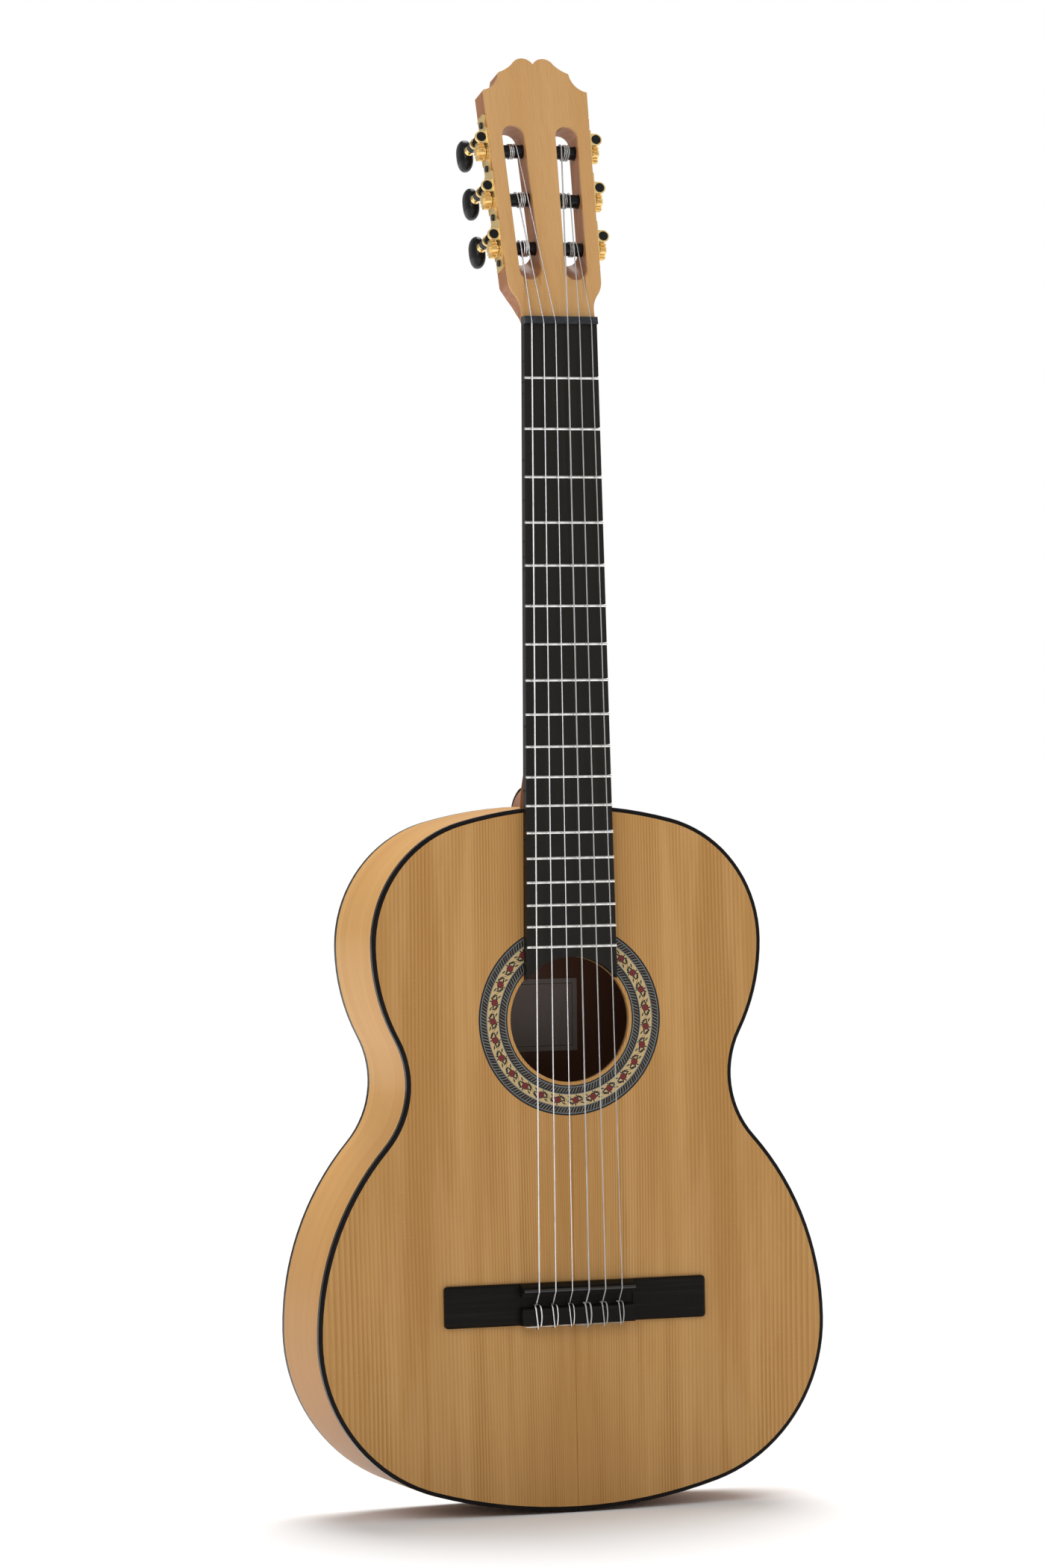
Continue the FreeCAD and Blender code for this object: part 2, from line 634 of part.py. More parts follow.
def head_outline(depth):
    """The head's outline at a depth, as tangent shoulder curves, sides and a carved crest."""
    neck_half = NUT_LENGTH / 2
    shoulder_half = HEAD_SHOULDER_WIDTH / 2
    swell = shoulder_half - neck_half
    rise = HEAD_SHOULDER_END - HEAD_NECK_RUN
    angle = 2 * math.atan2(swell, rise)
    radius = rise / (2 * math.sin(angle))
    half_angle = angle / 2
    low = (neck_half + radius * (1 - math.cos(half_angle)),
           HEAD_NECK_RUN + radius * math.sin(half_angle))
    middle = (neck_half + swell / 2, HEAD_NECK_RUN + rise / 2)
    high = (shoulder_half - radius * (1 - math.cos(half_angle)),
            HEAD_SHOULDER_END - radius * math.sin(half_angle))
    start = (neck_half, -HEAD_NECK_RUN * 2)
    foot = (neck_half, HEAD_NECK_RUN)
    shoulder = (shoulder_half, HEAD_SHOULDER_END)
    corner = (HEAD_TOP_WIDTH / 2, HEAD_SIDE_END)
    scoop = [crest_point(pair) for pair in CREST_SCOOP_SHARES]
    wave = [crest_point(pair) for pair in CREST_WAVE_SHARES]
    lobe = [crest_point(pair) for pair in CREST_LOBE_SHARES]
    runs = [(start, foot), (foot, low, middle), (middle, high, shoulder), (shoulder, corner),
            (corner, scoop[0], scoop[1]), (scoop[1], wave[0], wave[1]), (wave[1], lobe[0], lobe[1])]
    edges = []
    for run in runs:
        for sign in (1, -1):
            points = [head_point(sign * across, along, depth) for across, along in run]
            curve = Part.LineSegment(*points) if len(points) == 2 else Part.Arc(*points)
            edges.append(curve.toShape())
    ends = [head_point(sign * start[0], start[1], depth) for sign in (-1, 1)]
    edges.append(Part.LineSegment(*ends).toShape())
    return Part.Wire(Part.sortEdges(edges)[0])


def head_slab(low, high):
    """The head's outline between two depths."""
    inward = head_directions()[1]
    return Part.Face(head_outline(low)).extrude(inward * (high - low)).Solids[0]


def head_base_section():
    """A square-edged section of the head at the end of its shoulders."""
    half = HEAD_SHOULDER_WIDTH / 2 + BACK_EDGE_ROUND
    rounding = BACK_EDGE_ROUND
    swing = rounding * (1 - math.sqrt(0.5))
    outline = [(half, -OVERRUN), (half, HEAD_THICKNESS - rounding),
               (half - swing, HEAD_THICKNESS - swing), (half - rounding, HEAD_THICKNESS)]
    right = [head_point(across, HEAD_SHOULDER_END, depth) for across, depth in outline]
    left = [V(-point.x, point.y, point.z) for point in right]
    edges = [Part.LineSegment(left[0], right[0]), Part.LineSegment(right[0], right[1]),
             Part.Arc(right[1], right[2], right[3]), Part.LineSegment(right[3], left[3]),
             Part.Arc(left[3], left[2], left[1]), Part.LineSegment(left[1], left[0])]
    return Part.Wire([edge.toShape() for edge in edges])


def head_blank():
    """The head's wood: a slab whose lower end grows out of the neck's round back."""
    slab = head_slab(VENEER_THICKNESS, HEAD_THICKNESS)
    nut_section = shaft_section(0.0, NUT_LENGTH / 2, NECK_DEPTH_AT_NUT, front=OVERRUN)
    growth = Part.makeLoft([nut_section, head_base_section()], True, True)
    half = HEAD_TOP_WIDTH
    along, inward = head_directions()
    cutter = Part.makeBox(2 * half, HEAD_THICKNESS + 4 * OVERRUN, HEAD_SIDE_END * 2)
    cutter.translate(V(-half, -2 * OVERRUN, 0))
    cutter.rotate(V(0, 0, 0), ACROSS, -HEAD_TILT)
    cutter.translate(head_point(0.0, HEAD_SHOULDER_END))
    lower = slab.cut(cutter).common(growth)
    blank = slab.common(cutter).fuse(lower)
    blank = blank.cut(block(-half, half, -HEAD_THICKNESS, 0.0, -HEAD_THICKNESS, NUT_THICKNESS))
    return blank.cut(block(-half, half, -HEAD_THICKNESS, 2 * HEAD_THICKNESS, -HEAD_SIDE_END, 0.0))


def neck_blank():
    """Shaft, heel, tongue and slipper block in one piece of wood."""
    wood = heel_wood_depth()
    outer = neck_shaft().fuse(heel_loft())
    outer = outer.cut(body_prism(0.0, -OVERRUN, BODY_DEPTH + OVERRUN))
    half = BOARD_WIDTH_AT_BODY
    outer = outer.common(block(-half, half, 0, wood, NECK_JOINT_Z - BINDING_DEPTH, OVERRUN))
    inner = inner_space().common(slipper_room())
    return outer.fuse(neck_tongue()).fuse(inner)


def scarf_wedge():
    """Everything in front of the glue plane between the neck and the head."""
    reach = SCALE
    wedge = block(-reach / 2, reach / 2, -reach, 0, -reach, reach)
    wedge.rotate(V(0, 0, 0), ACROSS, HEAD_TILT)
    wedge.translate(UPWARD * (NUT_THICKNESS + SCARF_START))
    return wedge


def make_neck():
    blank = neck_blank().fuse(head_blank())
    return one_solid(blank.common(scarf_wedge()))


def make_heel_cap():
    """A thin dark cap on the heel's end, flush with the back."""
    wood = heel_wood_depth()
    outline = heel_section(wood, HEEL_HALF_WIDTHS[-1], HEEL_REACHES[-1])
    cap = Part.Face(outline).extrude(BACKWARD * HEEL_CAP_THICKNESS)
    return one_solid(cap.cut(body_prism(0.0, BODY_DEPTH / 2, BODY_DEPTH + OVERRUN)))


def side_taper():
    """Angle by which the head's sides open towards its top."""
    return math.atan2((HEAD_TOP_WIDTH - HEAD_SHOULDER_WIDTH) / 2, HEAD_SIDE_END - HEAD_SHOULDER_END)


def on_head_side(shape, sign=1):
    """Place a piece drawn as out from the head's side, depth, and way along that side."""
    taper = side_taper()
    along, inward = head_directions()
    out = ACROSS * math.cos(taper) - along * math.sin(taper)
    way = ACROSS * math.sin(taper) + along * math.cos(taper)
    base = head_point(HEAD_SHOULDER_WIDTH / 2, HEAD_SHOULDER_END)
    matrix = FreeCAD.Matrix(out.x, inward.x, way.x, base.x, out.y, inward.y, way.y, base.y,
                            out.z, inward.z, way.z, base.z, 0, 0, 0, 1)
    placed = shape.copy()
    placed.Placement = FreeCAD.Placement(matrix).multiply(placed.Placement)
    return placed if sign > 0 else mirror_x(placed)


def stadium(centre, half_width, low, high, depth, slant):
    """A round-ended slot cut through the head, its ends slanted along it by a run."""
    start = [V(centre - half_width, -OVERRUN, low + half_width),
             V(centre, -OVERRUN, low), V(centre + half_width, -OVERRUN, low + half_width)]
    end = [V(centre + half_width, -OVERRUN, high - half_width),
           V(centre, -OVERRUN, high), V(centre - half_width, -OVERRUN, high - half_width)]
    edges = [Part.Arc(*start), Part.LineSegment(start[2], end[0]), Part.Arc(*end),
             Part.LineSegment(end[2], start[0])]
    face = Part.Face(Part.Wire([edge.toShape() for edge in edges]))
    return face.extrude(V(0, depth + 2 * OVERRUN, slant * (depth + 2 * OVERRUN) / depth))


def head_slot():
    """A string slot, ramped at its nut end, with a shallow lead for the strings."""
    half = SLOT_WIDTH / 2
    middle = (SLOT_START + SLOT_END) / 2
    shift = RAMP_RUN * OVERRUN / HEAD_THICKNESS
    ramped = stadium(-SLOT_INSET, half, SLOT_START - shift, middle, HEAD_THICKNESS, RAMP_RUN)
    straight = stadium(-SLOT_INSET, half, middle - SLOT_WIDTH, SLOT_END, HEAD_THICKNESS, 0.0)
    lead_half = LEAD_WIDTH / 2
    run = [V(-SLOT_INSET - lead_half, 0, SLOT_START - LEAD_LENGTH / 2),
           V(-SLOT_INSET - lead_half, LEAD_DEPTH, SLOT_START + LEAD_LENGTH / 2),
           V(-SLOT_INSET - lead_half, -OVERRUN, SLOT_START + LEAD_LENGTH / 2),
           V(-SLOT_INSET - lead_half, -OVERRUN, SLOT_START - LEAD_LENGTH / 2)]
    lead = Part.Face(Part.makePolygon(run + run[:1])).extrude(ACROSS * LEAD_WIDTH)
    return ramped.fuse(straight).fuse(lead)


def make_fingerboard():
    """The tapered board, slotted for the frets and scooped by the soundhole."""
    end_z = HOLE_Z
    corners = [V(-NUT_LENGTH / 2, 0, 0), V(NUT_LENGTH / 2, 0, 0), V(board_half(end_z), 0, end_z),
               V(-board_half(end_z), 0, end_z)]
    board = Part.Face(Part.makePolygon(corners + corners[:1])).extrude(-BACKWARD * BOARD_THICKNESS)
    base = V(0, -BOARD_THICKNESS - OVERRUN, HOLE_Z)
    board = board.cut(Part.makeCylinder(HOLE_RADIUS, BOARD_THICKNESS + 2 * OVERRUN, base, BACKWARD))
    for number in range(1, FRET_COUNT + 1):
        z = -fret_drop(number)
        reach = BOARD_WIDTH_AT_BODY
        board = board.cut(block(-reach, reach, -BOARD_THICKNESS - OVERRUN, TANG_DEPTH - BOARD_THICKNESS,
                                z - TANG_WIDTH / 2, z + TANG_WIDTH / 2))
    return one_solid(board)


def make_frets():
    """Eighteen wires, each a low crown on a tang."""
    wires = []
    top = -BOARD_THICKNESS
    for number in range(1, FRET_COUNT + 1):
        z = -fret_drop(number)
        half = board_half(z)
        low = V(-half, top, z - FRET_WIDTH / 2)
        high = V(-half, top, z + FRET_WIDTH / 2)
        crown = [Part.Arc(low, V(-half, top - FRET_CROWN, z), high).toShape(),
                 Part.LineSegment(high, low).toShape()]
        wire = Part.Face(Part.Wire(crown)).extrude(ACROSS * 2 * half)
        tang = block(-half, half, top, top + TANG_DEPTH, z - TANG_WIDTH / 2, z + TANG_WIDTH / 2)
        wires.append(one_solid(wire.fuse(tang)))
    return together(wires)


def string_offset(number, span):
    """Place of a string across the instrument; 1 is the bass E at the left."""
    return span * ((number - 1) / (len(STRING_DIAMETERS) - 1) - 0.5)


def string_radius(number):
    return STRING_DIAMETERS[number] / 2


def nut_slot(number):
    """A string's slot: level over the front edge, then falling and turning towards its roller."""
    radius = string_radius(number) + NUT_SLOT_SIDE_GAP
    corner = nut_break(number)
    floor = -STRING_HEIGHT_AT_NUT + NUT_SLOT_FLOOR_GAP
    front = block(corner.x - radius, corner.x + radius, floor - NUT_HEIGHT, floor, -OVERRUN, NUT_BREAK)
    fall = (NUT_THICKNESS + OVERRUN) * math.tan(math.radians(NUT_SLOT_SLOPE))
    run = [V(-radius, floor, -NUT_BREAK / 2), V(-radius, floor, 0),
           V(-radius, floor + fall, NUT_THICKNESS + OVERRUN),
           V(-radius, floor - NUT_HEIGHT, NUT_THICKNESS + OVERRUN),
           V(-radius, floor - NUT_HEIGHT, -NUT_BREAK / 2)]
    rear = Part.Face(Part.makePolygon(run + run[:1])).extrude(ACROSS * 2 * radius)
    link = roller_centre(number) - corner
    rear.rotate(V(0, 0, 0), BACKWARD, math.degrees(math.atan2(link.x, link.z)))
    rear.translate(V(corner.x, 0, NUT_BREAK))
    return front.fuse(rear)


def make_nut():
    """The nut: its top falls away to the head, with a slot for each string."""
    half = NUT_LENGTH / 2
    drop = NUT_THICKNESS * math.tan(math.radians(NUT_TOP_SLOPE))
    profile = [V(-half, 0, 0), V(-half, -NUT_HEIGHT, 0), V(-half, drop - NUT_HEIGHT, NUT_THICKNESS),
               V(-half, 0, NUT_THICKNESS)]
    nut = Part.Face(Part.makePolygon(profile + profile[:1])).extrude(ACROSS * NUT_LENGTH)
    for number in STRING_DIAMETERS:
        nut = nut.cut(nut_slot(number))
    return one_solid(nut)


SADDLE_Z = -SCALE - SADDLE_SETBACK
BRIDGE_TOP_Z = SADDLE_Z + BRIDGE_FRONT_GAP


def string_height_at_saddle():
    """Height of the strings' underside over the soundboard, from the action at the body fret."""
    crown = BOARD_THICKNESS + FRET_CROWN + ACTION_AT_BODY_FRET
    return STRING_HEIGHT_AT_NUT + (crown - STRING_HEIGHT_AT_NUT) * SADDLE_Z / NECK_JOINT_Z


def bridge_block():
    """The raised middle: saddle block, valley and tie block, as one profile along its length."""
    half = BLOCK_LENGTH / 2
    front = BRIDGE_TOP_Z
    rear = BRIDGE_TOP_Z - BRIDGE_WIDTH
    valley_start = front - SADDLE_BLOCK_WIDTH
    tie_front = rear + TIE_BLOCK_WIDTH
    profile = [V(-half, 0, front), V(-half, -WING_THICKNESS, front),
               V(-half, -SADDLE_BLOCK_HEIGHT, front - SADDLE_BLOCK_BEVEL),
               V(-half, -SADDLE_BLOCK_HEIGHT, valley_start), V(-half, -VALLEY_HEIGHT, valley_start),
               V(-half, -VALLEY_HEIGHT, tie_front), V(-half, -TIE_BLOCK_HEIGHT + TIE_BLOCK_BEVEL, tie_front),
               V(-half, -TIE_BLOCK_HEIGHT, tie_front - TIE_BLOCK_BEVEL),
               V(-half, -TIE_BLOCK_HEIGHT, rear + TIE_BLOCK_BEVEL),
               V(-half, -TIE_BLOCK_HEIGHT + TIE_BLOCK_BEVEL, rear), V(-half, 0, rear)]
    return Part.Face(Part.makePolygon(profile + profile[:1])).extrude(ACROSS * BLOCK_LENGTH)


def bridge_wings():
    """The thin base plate with bevelled edges, left out under the raised middle."""
    half = BRIDGE_LENGTH / 2
    front = BRIDGE_TOP_Z
    rear = BRIDGE_TOP_Z - BRIDGE_WIDTH
    slab = block(-half, half, -WING_THICKNESS, 0, rear, front)
    corners = [edge for edge in slab.Edges if abs(edge.BoundBox.YLength - WING_THICKNESS) < WING_BEVEL]
    slab = slab.makeFillet(WING_CORNER, corners)
    rim = [edge for edge in slab.Edges if edge.BoundBox.YMax < -WING_THICKNESS / 2]
    slab = slab.makeChamfer(WING_BEVEL, rim)
    inner = BLOCK_LENGTH / 2
    return slab.cut(block(-inner, inner, -WING_THICKNESS * 2, OVERRUN, rear - OVERRUN, front + OVERRUN))


def saddle_slot(clearance):
    half = SADDLE_LENGTH / 2 + clearance
    thick = SADDLE_THICKNESS / 2 + clearance
    return block(-half, half, -SADDLE_BLOCK_HEIGHT - OVERRUN, -SADDLE_SEAT, SADDLE_Z - thick,
                 SADDLE_Z + thick)


def make_bridge():
    bridge = bridge_wings().fuse(bridge_block()).cut(saddle_slot(SLOT_CLEARANCE))
    rear = BRIDGE_TOP_Z - BRIDGE_WIDTH
    for number in STRING_DIAMETERS:
        x = string_offset(number, STRING_SPAN_AT_SADDLE)
        start = V(x, -TIE_HOLE_HEIGHT, rear - OVERRUN)
        length = TIE_BLOCK_WIDTH + 2 * OVERRUN - VALLEY_HEIGHT
        bridge = bridge.cut(Part.makeCylinder(TIE_HOLE_RADIUS, length, start, UPWARD))
    return one_solid(bridge)


def make_saddle():
    """A bar with a half-round crown that the strings bear on."""
    half = SADDLE_LENGTH / 2
    thick = SADDLE_THICKNESS / 2
    crown = -string_height_at_saddle()
    shoulder = crown + thick
    low = V(-half, shoulder, SADDLE_Z - thick)
    high = V(-half, shoulder, SADDLE_Z + thick)
    foot_low = V(-half, -SADDLE_SEAT, SADDLE_Z - thick)
    foot_high = V(-half, -SADDLE_SEAT, SADDLE_Z + thick)
    edges = [Part.Arc(low, V(-half, crown, SADDLE_Z), high).toShape(),
             Part.LineSegment(high, foot_high).toShape(), Part.LineSegment(foot_high, foot_low).toShape(),
             Part.LineSegment(foot_low, low).toShape()]
    return Part.Face(Part.Wire(edges)).extrude(ACROSS * SADDLE_LENGTH).Solids[0]


def roller_places():
    """Way along the head's side of each roller, nearest the nut first."""
    return [ROLLER_FIRST + index * ROLLER_PITCH for index in range(ROLLER_COUNT)]


def outer_wall():
    """Thickness of wood between the head's side and the string slot."""
    return SLOT_INSET - SLOT_WIDTH / 2


def bar_inner():
    """Depth from the head's side to the blind end of a roller's hole."""
    return SLOT_INSET + SLOT_WIDTH / 2 + BLIND_DEPTH


def screw_places():
    rollers = roller_places()
    above = [place + SCREW_ABOVE for place in rollers[:-1]]
    return [rollers[0] - SCREW_BELOW] + above + [rollers[-1] + SCREW_LAST]


def out_cylinder(radius, start, end, depth, way):
    """A cylinder that runs out from the head's side."""
    return Part.makeCylinder(radius, end - start, V(start, depth, way), ACROSS)


def screw_depth():
    return PLATE_EDGE + PLATE_WIDTH / 2


def make_headstock():
    """The slotted head, behind the scarf, bored for the rollers and the plate screws."""
    wood = neck_blank().fuse(head_blank()).cut(scarf_wedge())
    wood = one_solid(wood)
    hole_radius = JOURNAL_RADIUS + RUNNING_CLEARANCE
    cuts = [head_slot()]
    for way in roller_places():
        cuts.append(out_cylinder(hole_radius, -bar_inner(), OVERRUN, ROLLER_DEPTH, way))
    for way in screw_places():
        cuts.append(out_cylinder(SCREW_SHANK_RADIUS, -SCREW_LENGTH, OVERRUN, screw_depth(), way))
    for cut in cuts:
        for sign in (1, -1):
            wood = wood.cut(on_head_side(cut, sign))
    return one_solid(wood)


def make_head_veneer():
    half = HEAD_TOP_WIDTH
    veneer = head_slab(0.0, VENEER_THICKNESS)
    veneer = veneer.cut(block(-half, half, -half, half, -half, NUT_THICKNESS))
    for sign in (1, -1):
        veneer = veneer.cut(on_head_side(head_slot(), sign))
    return one_solid(veneer)


def worm_way(way):
    """Way along the side of a worm's axis, above its roller."""
    return way + WORM_PITCH_RADIUS + GEAR_TEETH * GEAR_MODULE / 2


def gear_plane():
    """How far out from the head's side the middle of the gears lies."""
    return GEAR_STANDOFF + GEAR_FACE / 2


def lug(depth, thickness, radius, bore, way):
    """A bored ear that stands off the plate and carries a worm shaft."""
    axis = gear_plane()
    foot = block(0, axis, depth, depth + thickness, way - radius, way + radius)
    ring = Part.makeCylinder(radius, thickness, V(axis, depth, way), BACKWARD)
    hole = Part.makeCylinder(bore, thickness + 2 * OVERRUN, V(axis, depth - OVERRUN, way), BACKWARD)
    return foot.fuse(ring).cut(hole)


def plate_outline():
    """The side plate with round ends and scooped edges between the machines."""
    rollers = roller_places()
    low = rollers[0] - PLATE_OVERHANG_LOW
    high = rollers[-1] + PLATE_OVERHANG_HIGH
    plate = block(0, PLATE_THICKNESS, PLATE_EDGE, PLATE_EDGE + PLATE_WIDTH, low, high)
    ends = [edge for edge in plate.Edges if edge.BoundBox.XLength > PLATE_THICKNESS / 2
            and max(edge.BoundBox.YLength, edge.BoundBox.ZLength) < PLATE_THICKNESS / 2]
    plate = plate.makeFillet(PLATE_END_ROUND, ends)
    for way in screw_places():
        for edge, sign in ((PLATE_EDGE, -1), (PLATE_EDGE + PLATE_WIDTH, 1)):
            centre = edge + sign * (PLATE_BITE - PLATE_BITE_DEPTH)
            plate = plate.cut(out_cylinder(PLATE_BITE, -OVERRUN, OVERRUN, centre, way))
    return plate


def make_tuner_plate(sign):
    plate = plate_outline()
    for way in roller_places():
        axis = worm_way(way)
        front = lug(FRONT_LUG, LUG_THICKNESS, FRONT_LUG_RADIUS, CAP_RADIUS + RUNNING_CLEARANCE, axis)
        rear = lug(REAR_LUG, LUG_THICKNESS, REAR_LUG_RADIUS,
                   REAR_JOURNAL_RADIUS + RUNNING_CLEARANCE, axis)
        plate = plate.fuse(front).fuse(rear)
        plate = plate.cut(out_cylinder(SPINDLE_RADIUS + RUNNING_CLEARANCE, -OVERRUN, OVERRUN,
                                       ROLLER_DEPTH, way))
    for way in screw_places():
        plate = plate.cut(out_cylinder(SCREW_SHANK_RADIUS, -OVERRUN, OVERRUN, screw_depth(), way))
    return on_head_side(one_solid(plate), sign)


def make_plate_screws():
    """Eight round-headed wood screws."""
    screws = []
    for way in screw_places():
        shank = out_cylinder(SCREW_SHANK_RADIUS, -SCREW_LENGTH, PLATE_THICKNESS, screw_depth(), way)
        head = out_cylinder(SCREW_HEAD_RADIUS, PLATE_THICKNESS, PLATE_THICKNESS + SCREW_HEAD_HEIGHT,
                            screw_depth(), way)
        screw = one_solid(shank.fuse(head))
        screws += [on_head_side(screw, sign) for sign in (1, -1)]
    return together(screws)


def make_roller(way):
    """A string roller: journals in the wood, a slimmer barrel in the slot, a spindle through the plate."""
    slot_inner = -(SLOT_INSET + SLOT_WIDTH / 2)
    low = slot_inner + BARREL_RELIEF
    high = -outer_wall() - BARREL_RELIEF
    inner = out_cylinder(JOURNAL_RADIUS, END_GAP - bar_inner(), low, ROLLER_DEPTH, way)
    barrel = out_cylinder(BARREL_RADIUS, low, high, ROLLER_DEPTH, way)
    outer = out_cylinder(JOURNAL_RADIUS, high, -END_GAP, ROLLER_DEPTH, way)
    spindle = out_cylinder(SPINDLE_RADIUS, -END_GAP, GEAR_STANDOFF + GEAR_FACE, ROLLER_DEPTH, way)
    return one_solid(inner.fuse(barrel).fuse(outer).fuse(spindle))


def gear_blank_points():
    """Corners of a straight-flanked wheel whose gap, not a tooth, faces the worm."""
    pitch_angle = 2 * math.pi / GEAR_TEETH
    tip = GEAR_TEETH * GEAR_MODULE / 2 + GEAR_MODULE
    root = GEAR_TEETH * GEAR_MODULE / 2 - GEAR_MODULE * (1 + GEAR_CLEARANCE / 4)
    points = []
    for tooth in range(GEAR_TEETH):
        middle = (tooth + 0.5) * pitch_angle
        for radius, share, side in ((root, TOOTH_ROOT_SHARE, -1), (tip, TOOTH_TIP_SHARE, -1),
                                    (tip, TOOTH_TIP_SHARE, 1), (root, TOOTH_ROOT_SHARE, 1)):
            angle = middle + side * share * pitch_angle / 2
            points.append(V(0, radius * math.sin(angle), radius * math.cos(angle)))
    return points


def make_gear(way):
    """The brass wheel on its hub, held by a screw on the spindle's end."""
    hub_start = PLATE_THICKNESS + GEAR_HUB_GAP
    outer = GEAR_STANDOFF + GEAR_FACE
    points = [point + V(GEAR_STANDOFF, ROLLER_DEPTH, way) for point in gear_blank_points()]
    wheel = Part.Face(Part.makePolygon(points + points[:1])).extrude(ACROSS * GEAR_FACE)
    hub = out_cylinder(GEAR_HUB_RADIUS, hub_start, GEAR_STANDOFF, ROLLER_DEPTH, way)
    bore = out_cylinder(SPINDLE_RADIUS, hub_start - OVERRUN, outer, ROLLER_DEPTH, way)
    screw = out_cylinder(GEAR_SCREW_RADIUS, outer, outer + GEAR_SCREW_HEIGHT, ROLLER_DEPTH, way)
    return one_solid(wheel.fuse(hub).fuse(screw).cut(bore))


def worm_thread():
    """A trapezoid rib wound round the worm, drawn on the Z axis from zero height."""
    lead = math.pi * GEAR_MODULE
    root = WORM_ROOT_RADIUS - THREAD_SINK
    helix = Part.makeHelix(lead, THREAD_LENGTH, WORM_PITCH_RADIUS)
    foot_half = THREAD_ROOT_SHARE * lead / 2
    tip_half = THREAD_TIP_SHARE * lead / 2
    points = [V(root, 0, -foot_half), V(WORM_OUTER_RADIUS, 0, -tip_half),
              V(WORM_OUTER_RADIUS, 0, tip_half), V(root, 0, foot_half)]
    profile = Part.makePolygon(points + points[:1])
    thread = Part.Wire(helix.Edges).makePipeShell([profile], True, True)
    phase = 90.0 - 360.0 * THREAD_LENGTH / 2 / lead
    thread.rotate(V(0, 0, 0), UPWARD, phase)
    return Part.Solid(thread) if thread.ShapeType != "Solid" else thread


def worm_profile():
    """Radius against depth along the worm shaft, from its front cap to its stem."""
    rear_end = REAR_LUG + LUG_THICKNESS + END_GAP
    steps = [(CAP_RADIUS, CAP_FRONT), (CAP_RADIUS, CAP_END), (WORM_ROOT_RADIUS, CAP_END),
             (WORM_ROOT_RADIUS, REAR_JOURNAL_START), (REAR_JOURNAL_RADIUS, REAR_JOURNAL_START),
             (REAR_JOURNAL_RADIUS, rear_end)]
    rib = (COLLAR_END - rear_end) / COLLAR_RIBS
    for index in range(COLLAR_RIBS):
        start = rear_end + index * rib
        steps += [(COLLAR_RADIUS, start), (COLLAR_RADIUS, start + rib - COLLAR_GROOVE),
                  (COLLAR_RADIUS - COLLAR_GROOVE, start + rib)]
    places = [COLLAR_END + share * FERRULE_LENGTH for share in FERRULE_SHARES]
    end = COLLAR_END + FERRULE_LENGTH
    steps += [(FERRULE_RADIUS, COLLAR_END), (FERRULE_RADIUS, places[0]), (FERRULE_WAIST_RADIUS, places[1]),
              (FERRULE_WAIST_RADIUS, places[2]), (FERRULE_RADIUS, places[3]), (FERRULE_WAIST_RADIUS, end),
              (STEM_RADIUS, end), (STEM_RADIUS, end + STEM_LENGTH)]
    return steps


def make_worm_shaft(way):
    """The worm with its cap, journals, ribbed collar, ferrule and stem in one turned piece."""
    steps = worm_profile()
    points = [V(0, 0, steps[0][1])] + [V(radius, 0, place) for radius, place in steps]
    points.append(V(0, 0, steps[-1][1]))
    turned = Part.Face(Part.makePolygon(points + points[:1])).revolve(V(0, 0, 0), UPWARD, 360)
    thread = worm_thread()
    thread.translate(UPWARD * (ROLLER_DEPTH - THREAD_LENGTH / 2))
    worm = turned.fuse(thread)
    worm.rotate(V(0, 0, 0), ACROSS, -90)
    worm.translate(V(gear_plane(), 0, worm_way(way)))
    return one_solid(worm)


def make_button(way):
    """An oval, faceted grip with a ridge along each face, bored for the stem."""
    base = COLLAR_END + FERRULE_LENGTH
    middle = V(gear_plane(), base + BUTTON_HEIGHT / 2, worm_way(way))
    rings = []
    for place, size in BUTTON_SHARES:
        rings.append([middle + V(out * size * BUTTON_THICKNESS, depth * size * BUTTON_HEIGHT,
                                 place * BUTTON_LENGTH) for out, depth in BUTTON_SECTION_SHARES])
    stem_foot = V(gear_plane(), base, worm_way(way))
    bore = Part.makeCylinder(STEM_RADIUS, STEM_LENGTH, stem_foot, BACKWARD)
    return one_solid(faceted_solid(rings).cut(bore))


def faceted_solid(rings):
    """A solid of flat faces between parallel polygons of one shape."""
    faces = [Part.Face(Part.makePolygon(ring + ring[:1])) for ring in (rings[0], rings[-1])]
    for ring, following in zip(rings, rings[1:]):
        for k, corner in enumerate(ring):
            patch = [ring[k - 1], corner, following[k], following[k - 1]]
            faces.append(Part.Face(Part.makePolygon(patch + patch[:1])))
    solid = Part.Solid(Part.Shell(faces))
    return solid if solid.Volume > 0 else solid.reversed()


def tangent_arc(start, direction, end):
    """The arc that leaves a point along a direction and ends at another, or a straight line."""
    chord = end - start
    half = chord.Length / 2
    way = chord.normalize()
    aside = direction - way * direction.dot(way)
    if aside.Length < STRAIGHT_ENOUGH:
        return Part.LineSegment(start, end).toShape()
    bend = math.acos(max(-1.0, min(1.0, direction.dot(way) / direction.Length)))
    middle = start + way * half + aside.normalize() * half * math.tan(bend / 2)
    return Part.Arc(start, middle, end).toShape()


def biarc(start, start_way, end, end_way):
    """Two arcs that join smoothly and follow both end directions."""
    span = end - start
    both = start_way + end_way
    turn = 2 * (1 - start_way.dot(end_way))
    lean = span.dot(both)
    reach = (math.sqrt(lean ** 2 + turn * span.dot(span)) - lean) / turn
    joint = (start + start_way * reach + end - end_way * reach) * 0.5
    first = tangent_arc(start, start_way, joint)
    second = tangent_arc(end, end_way * -1, joint)
    return [first, second]


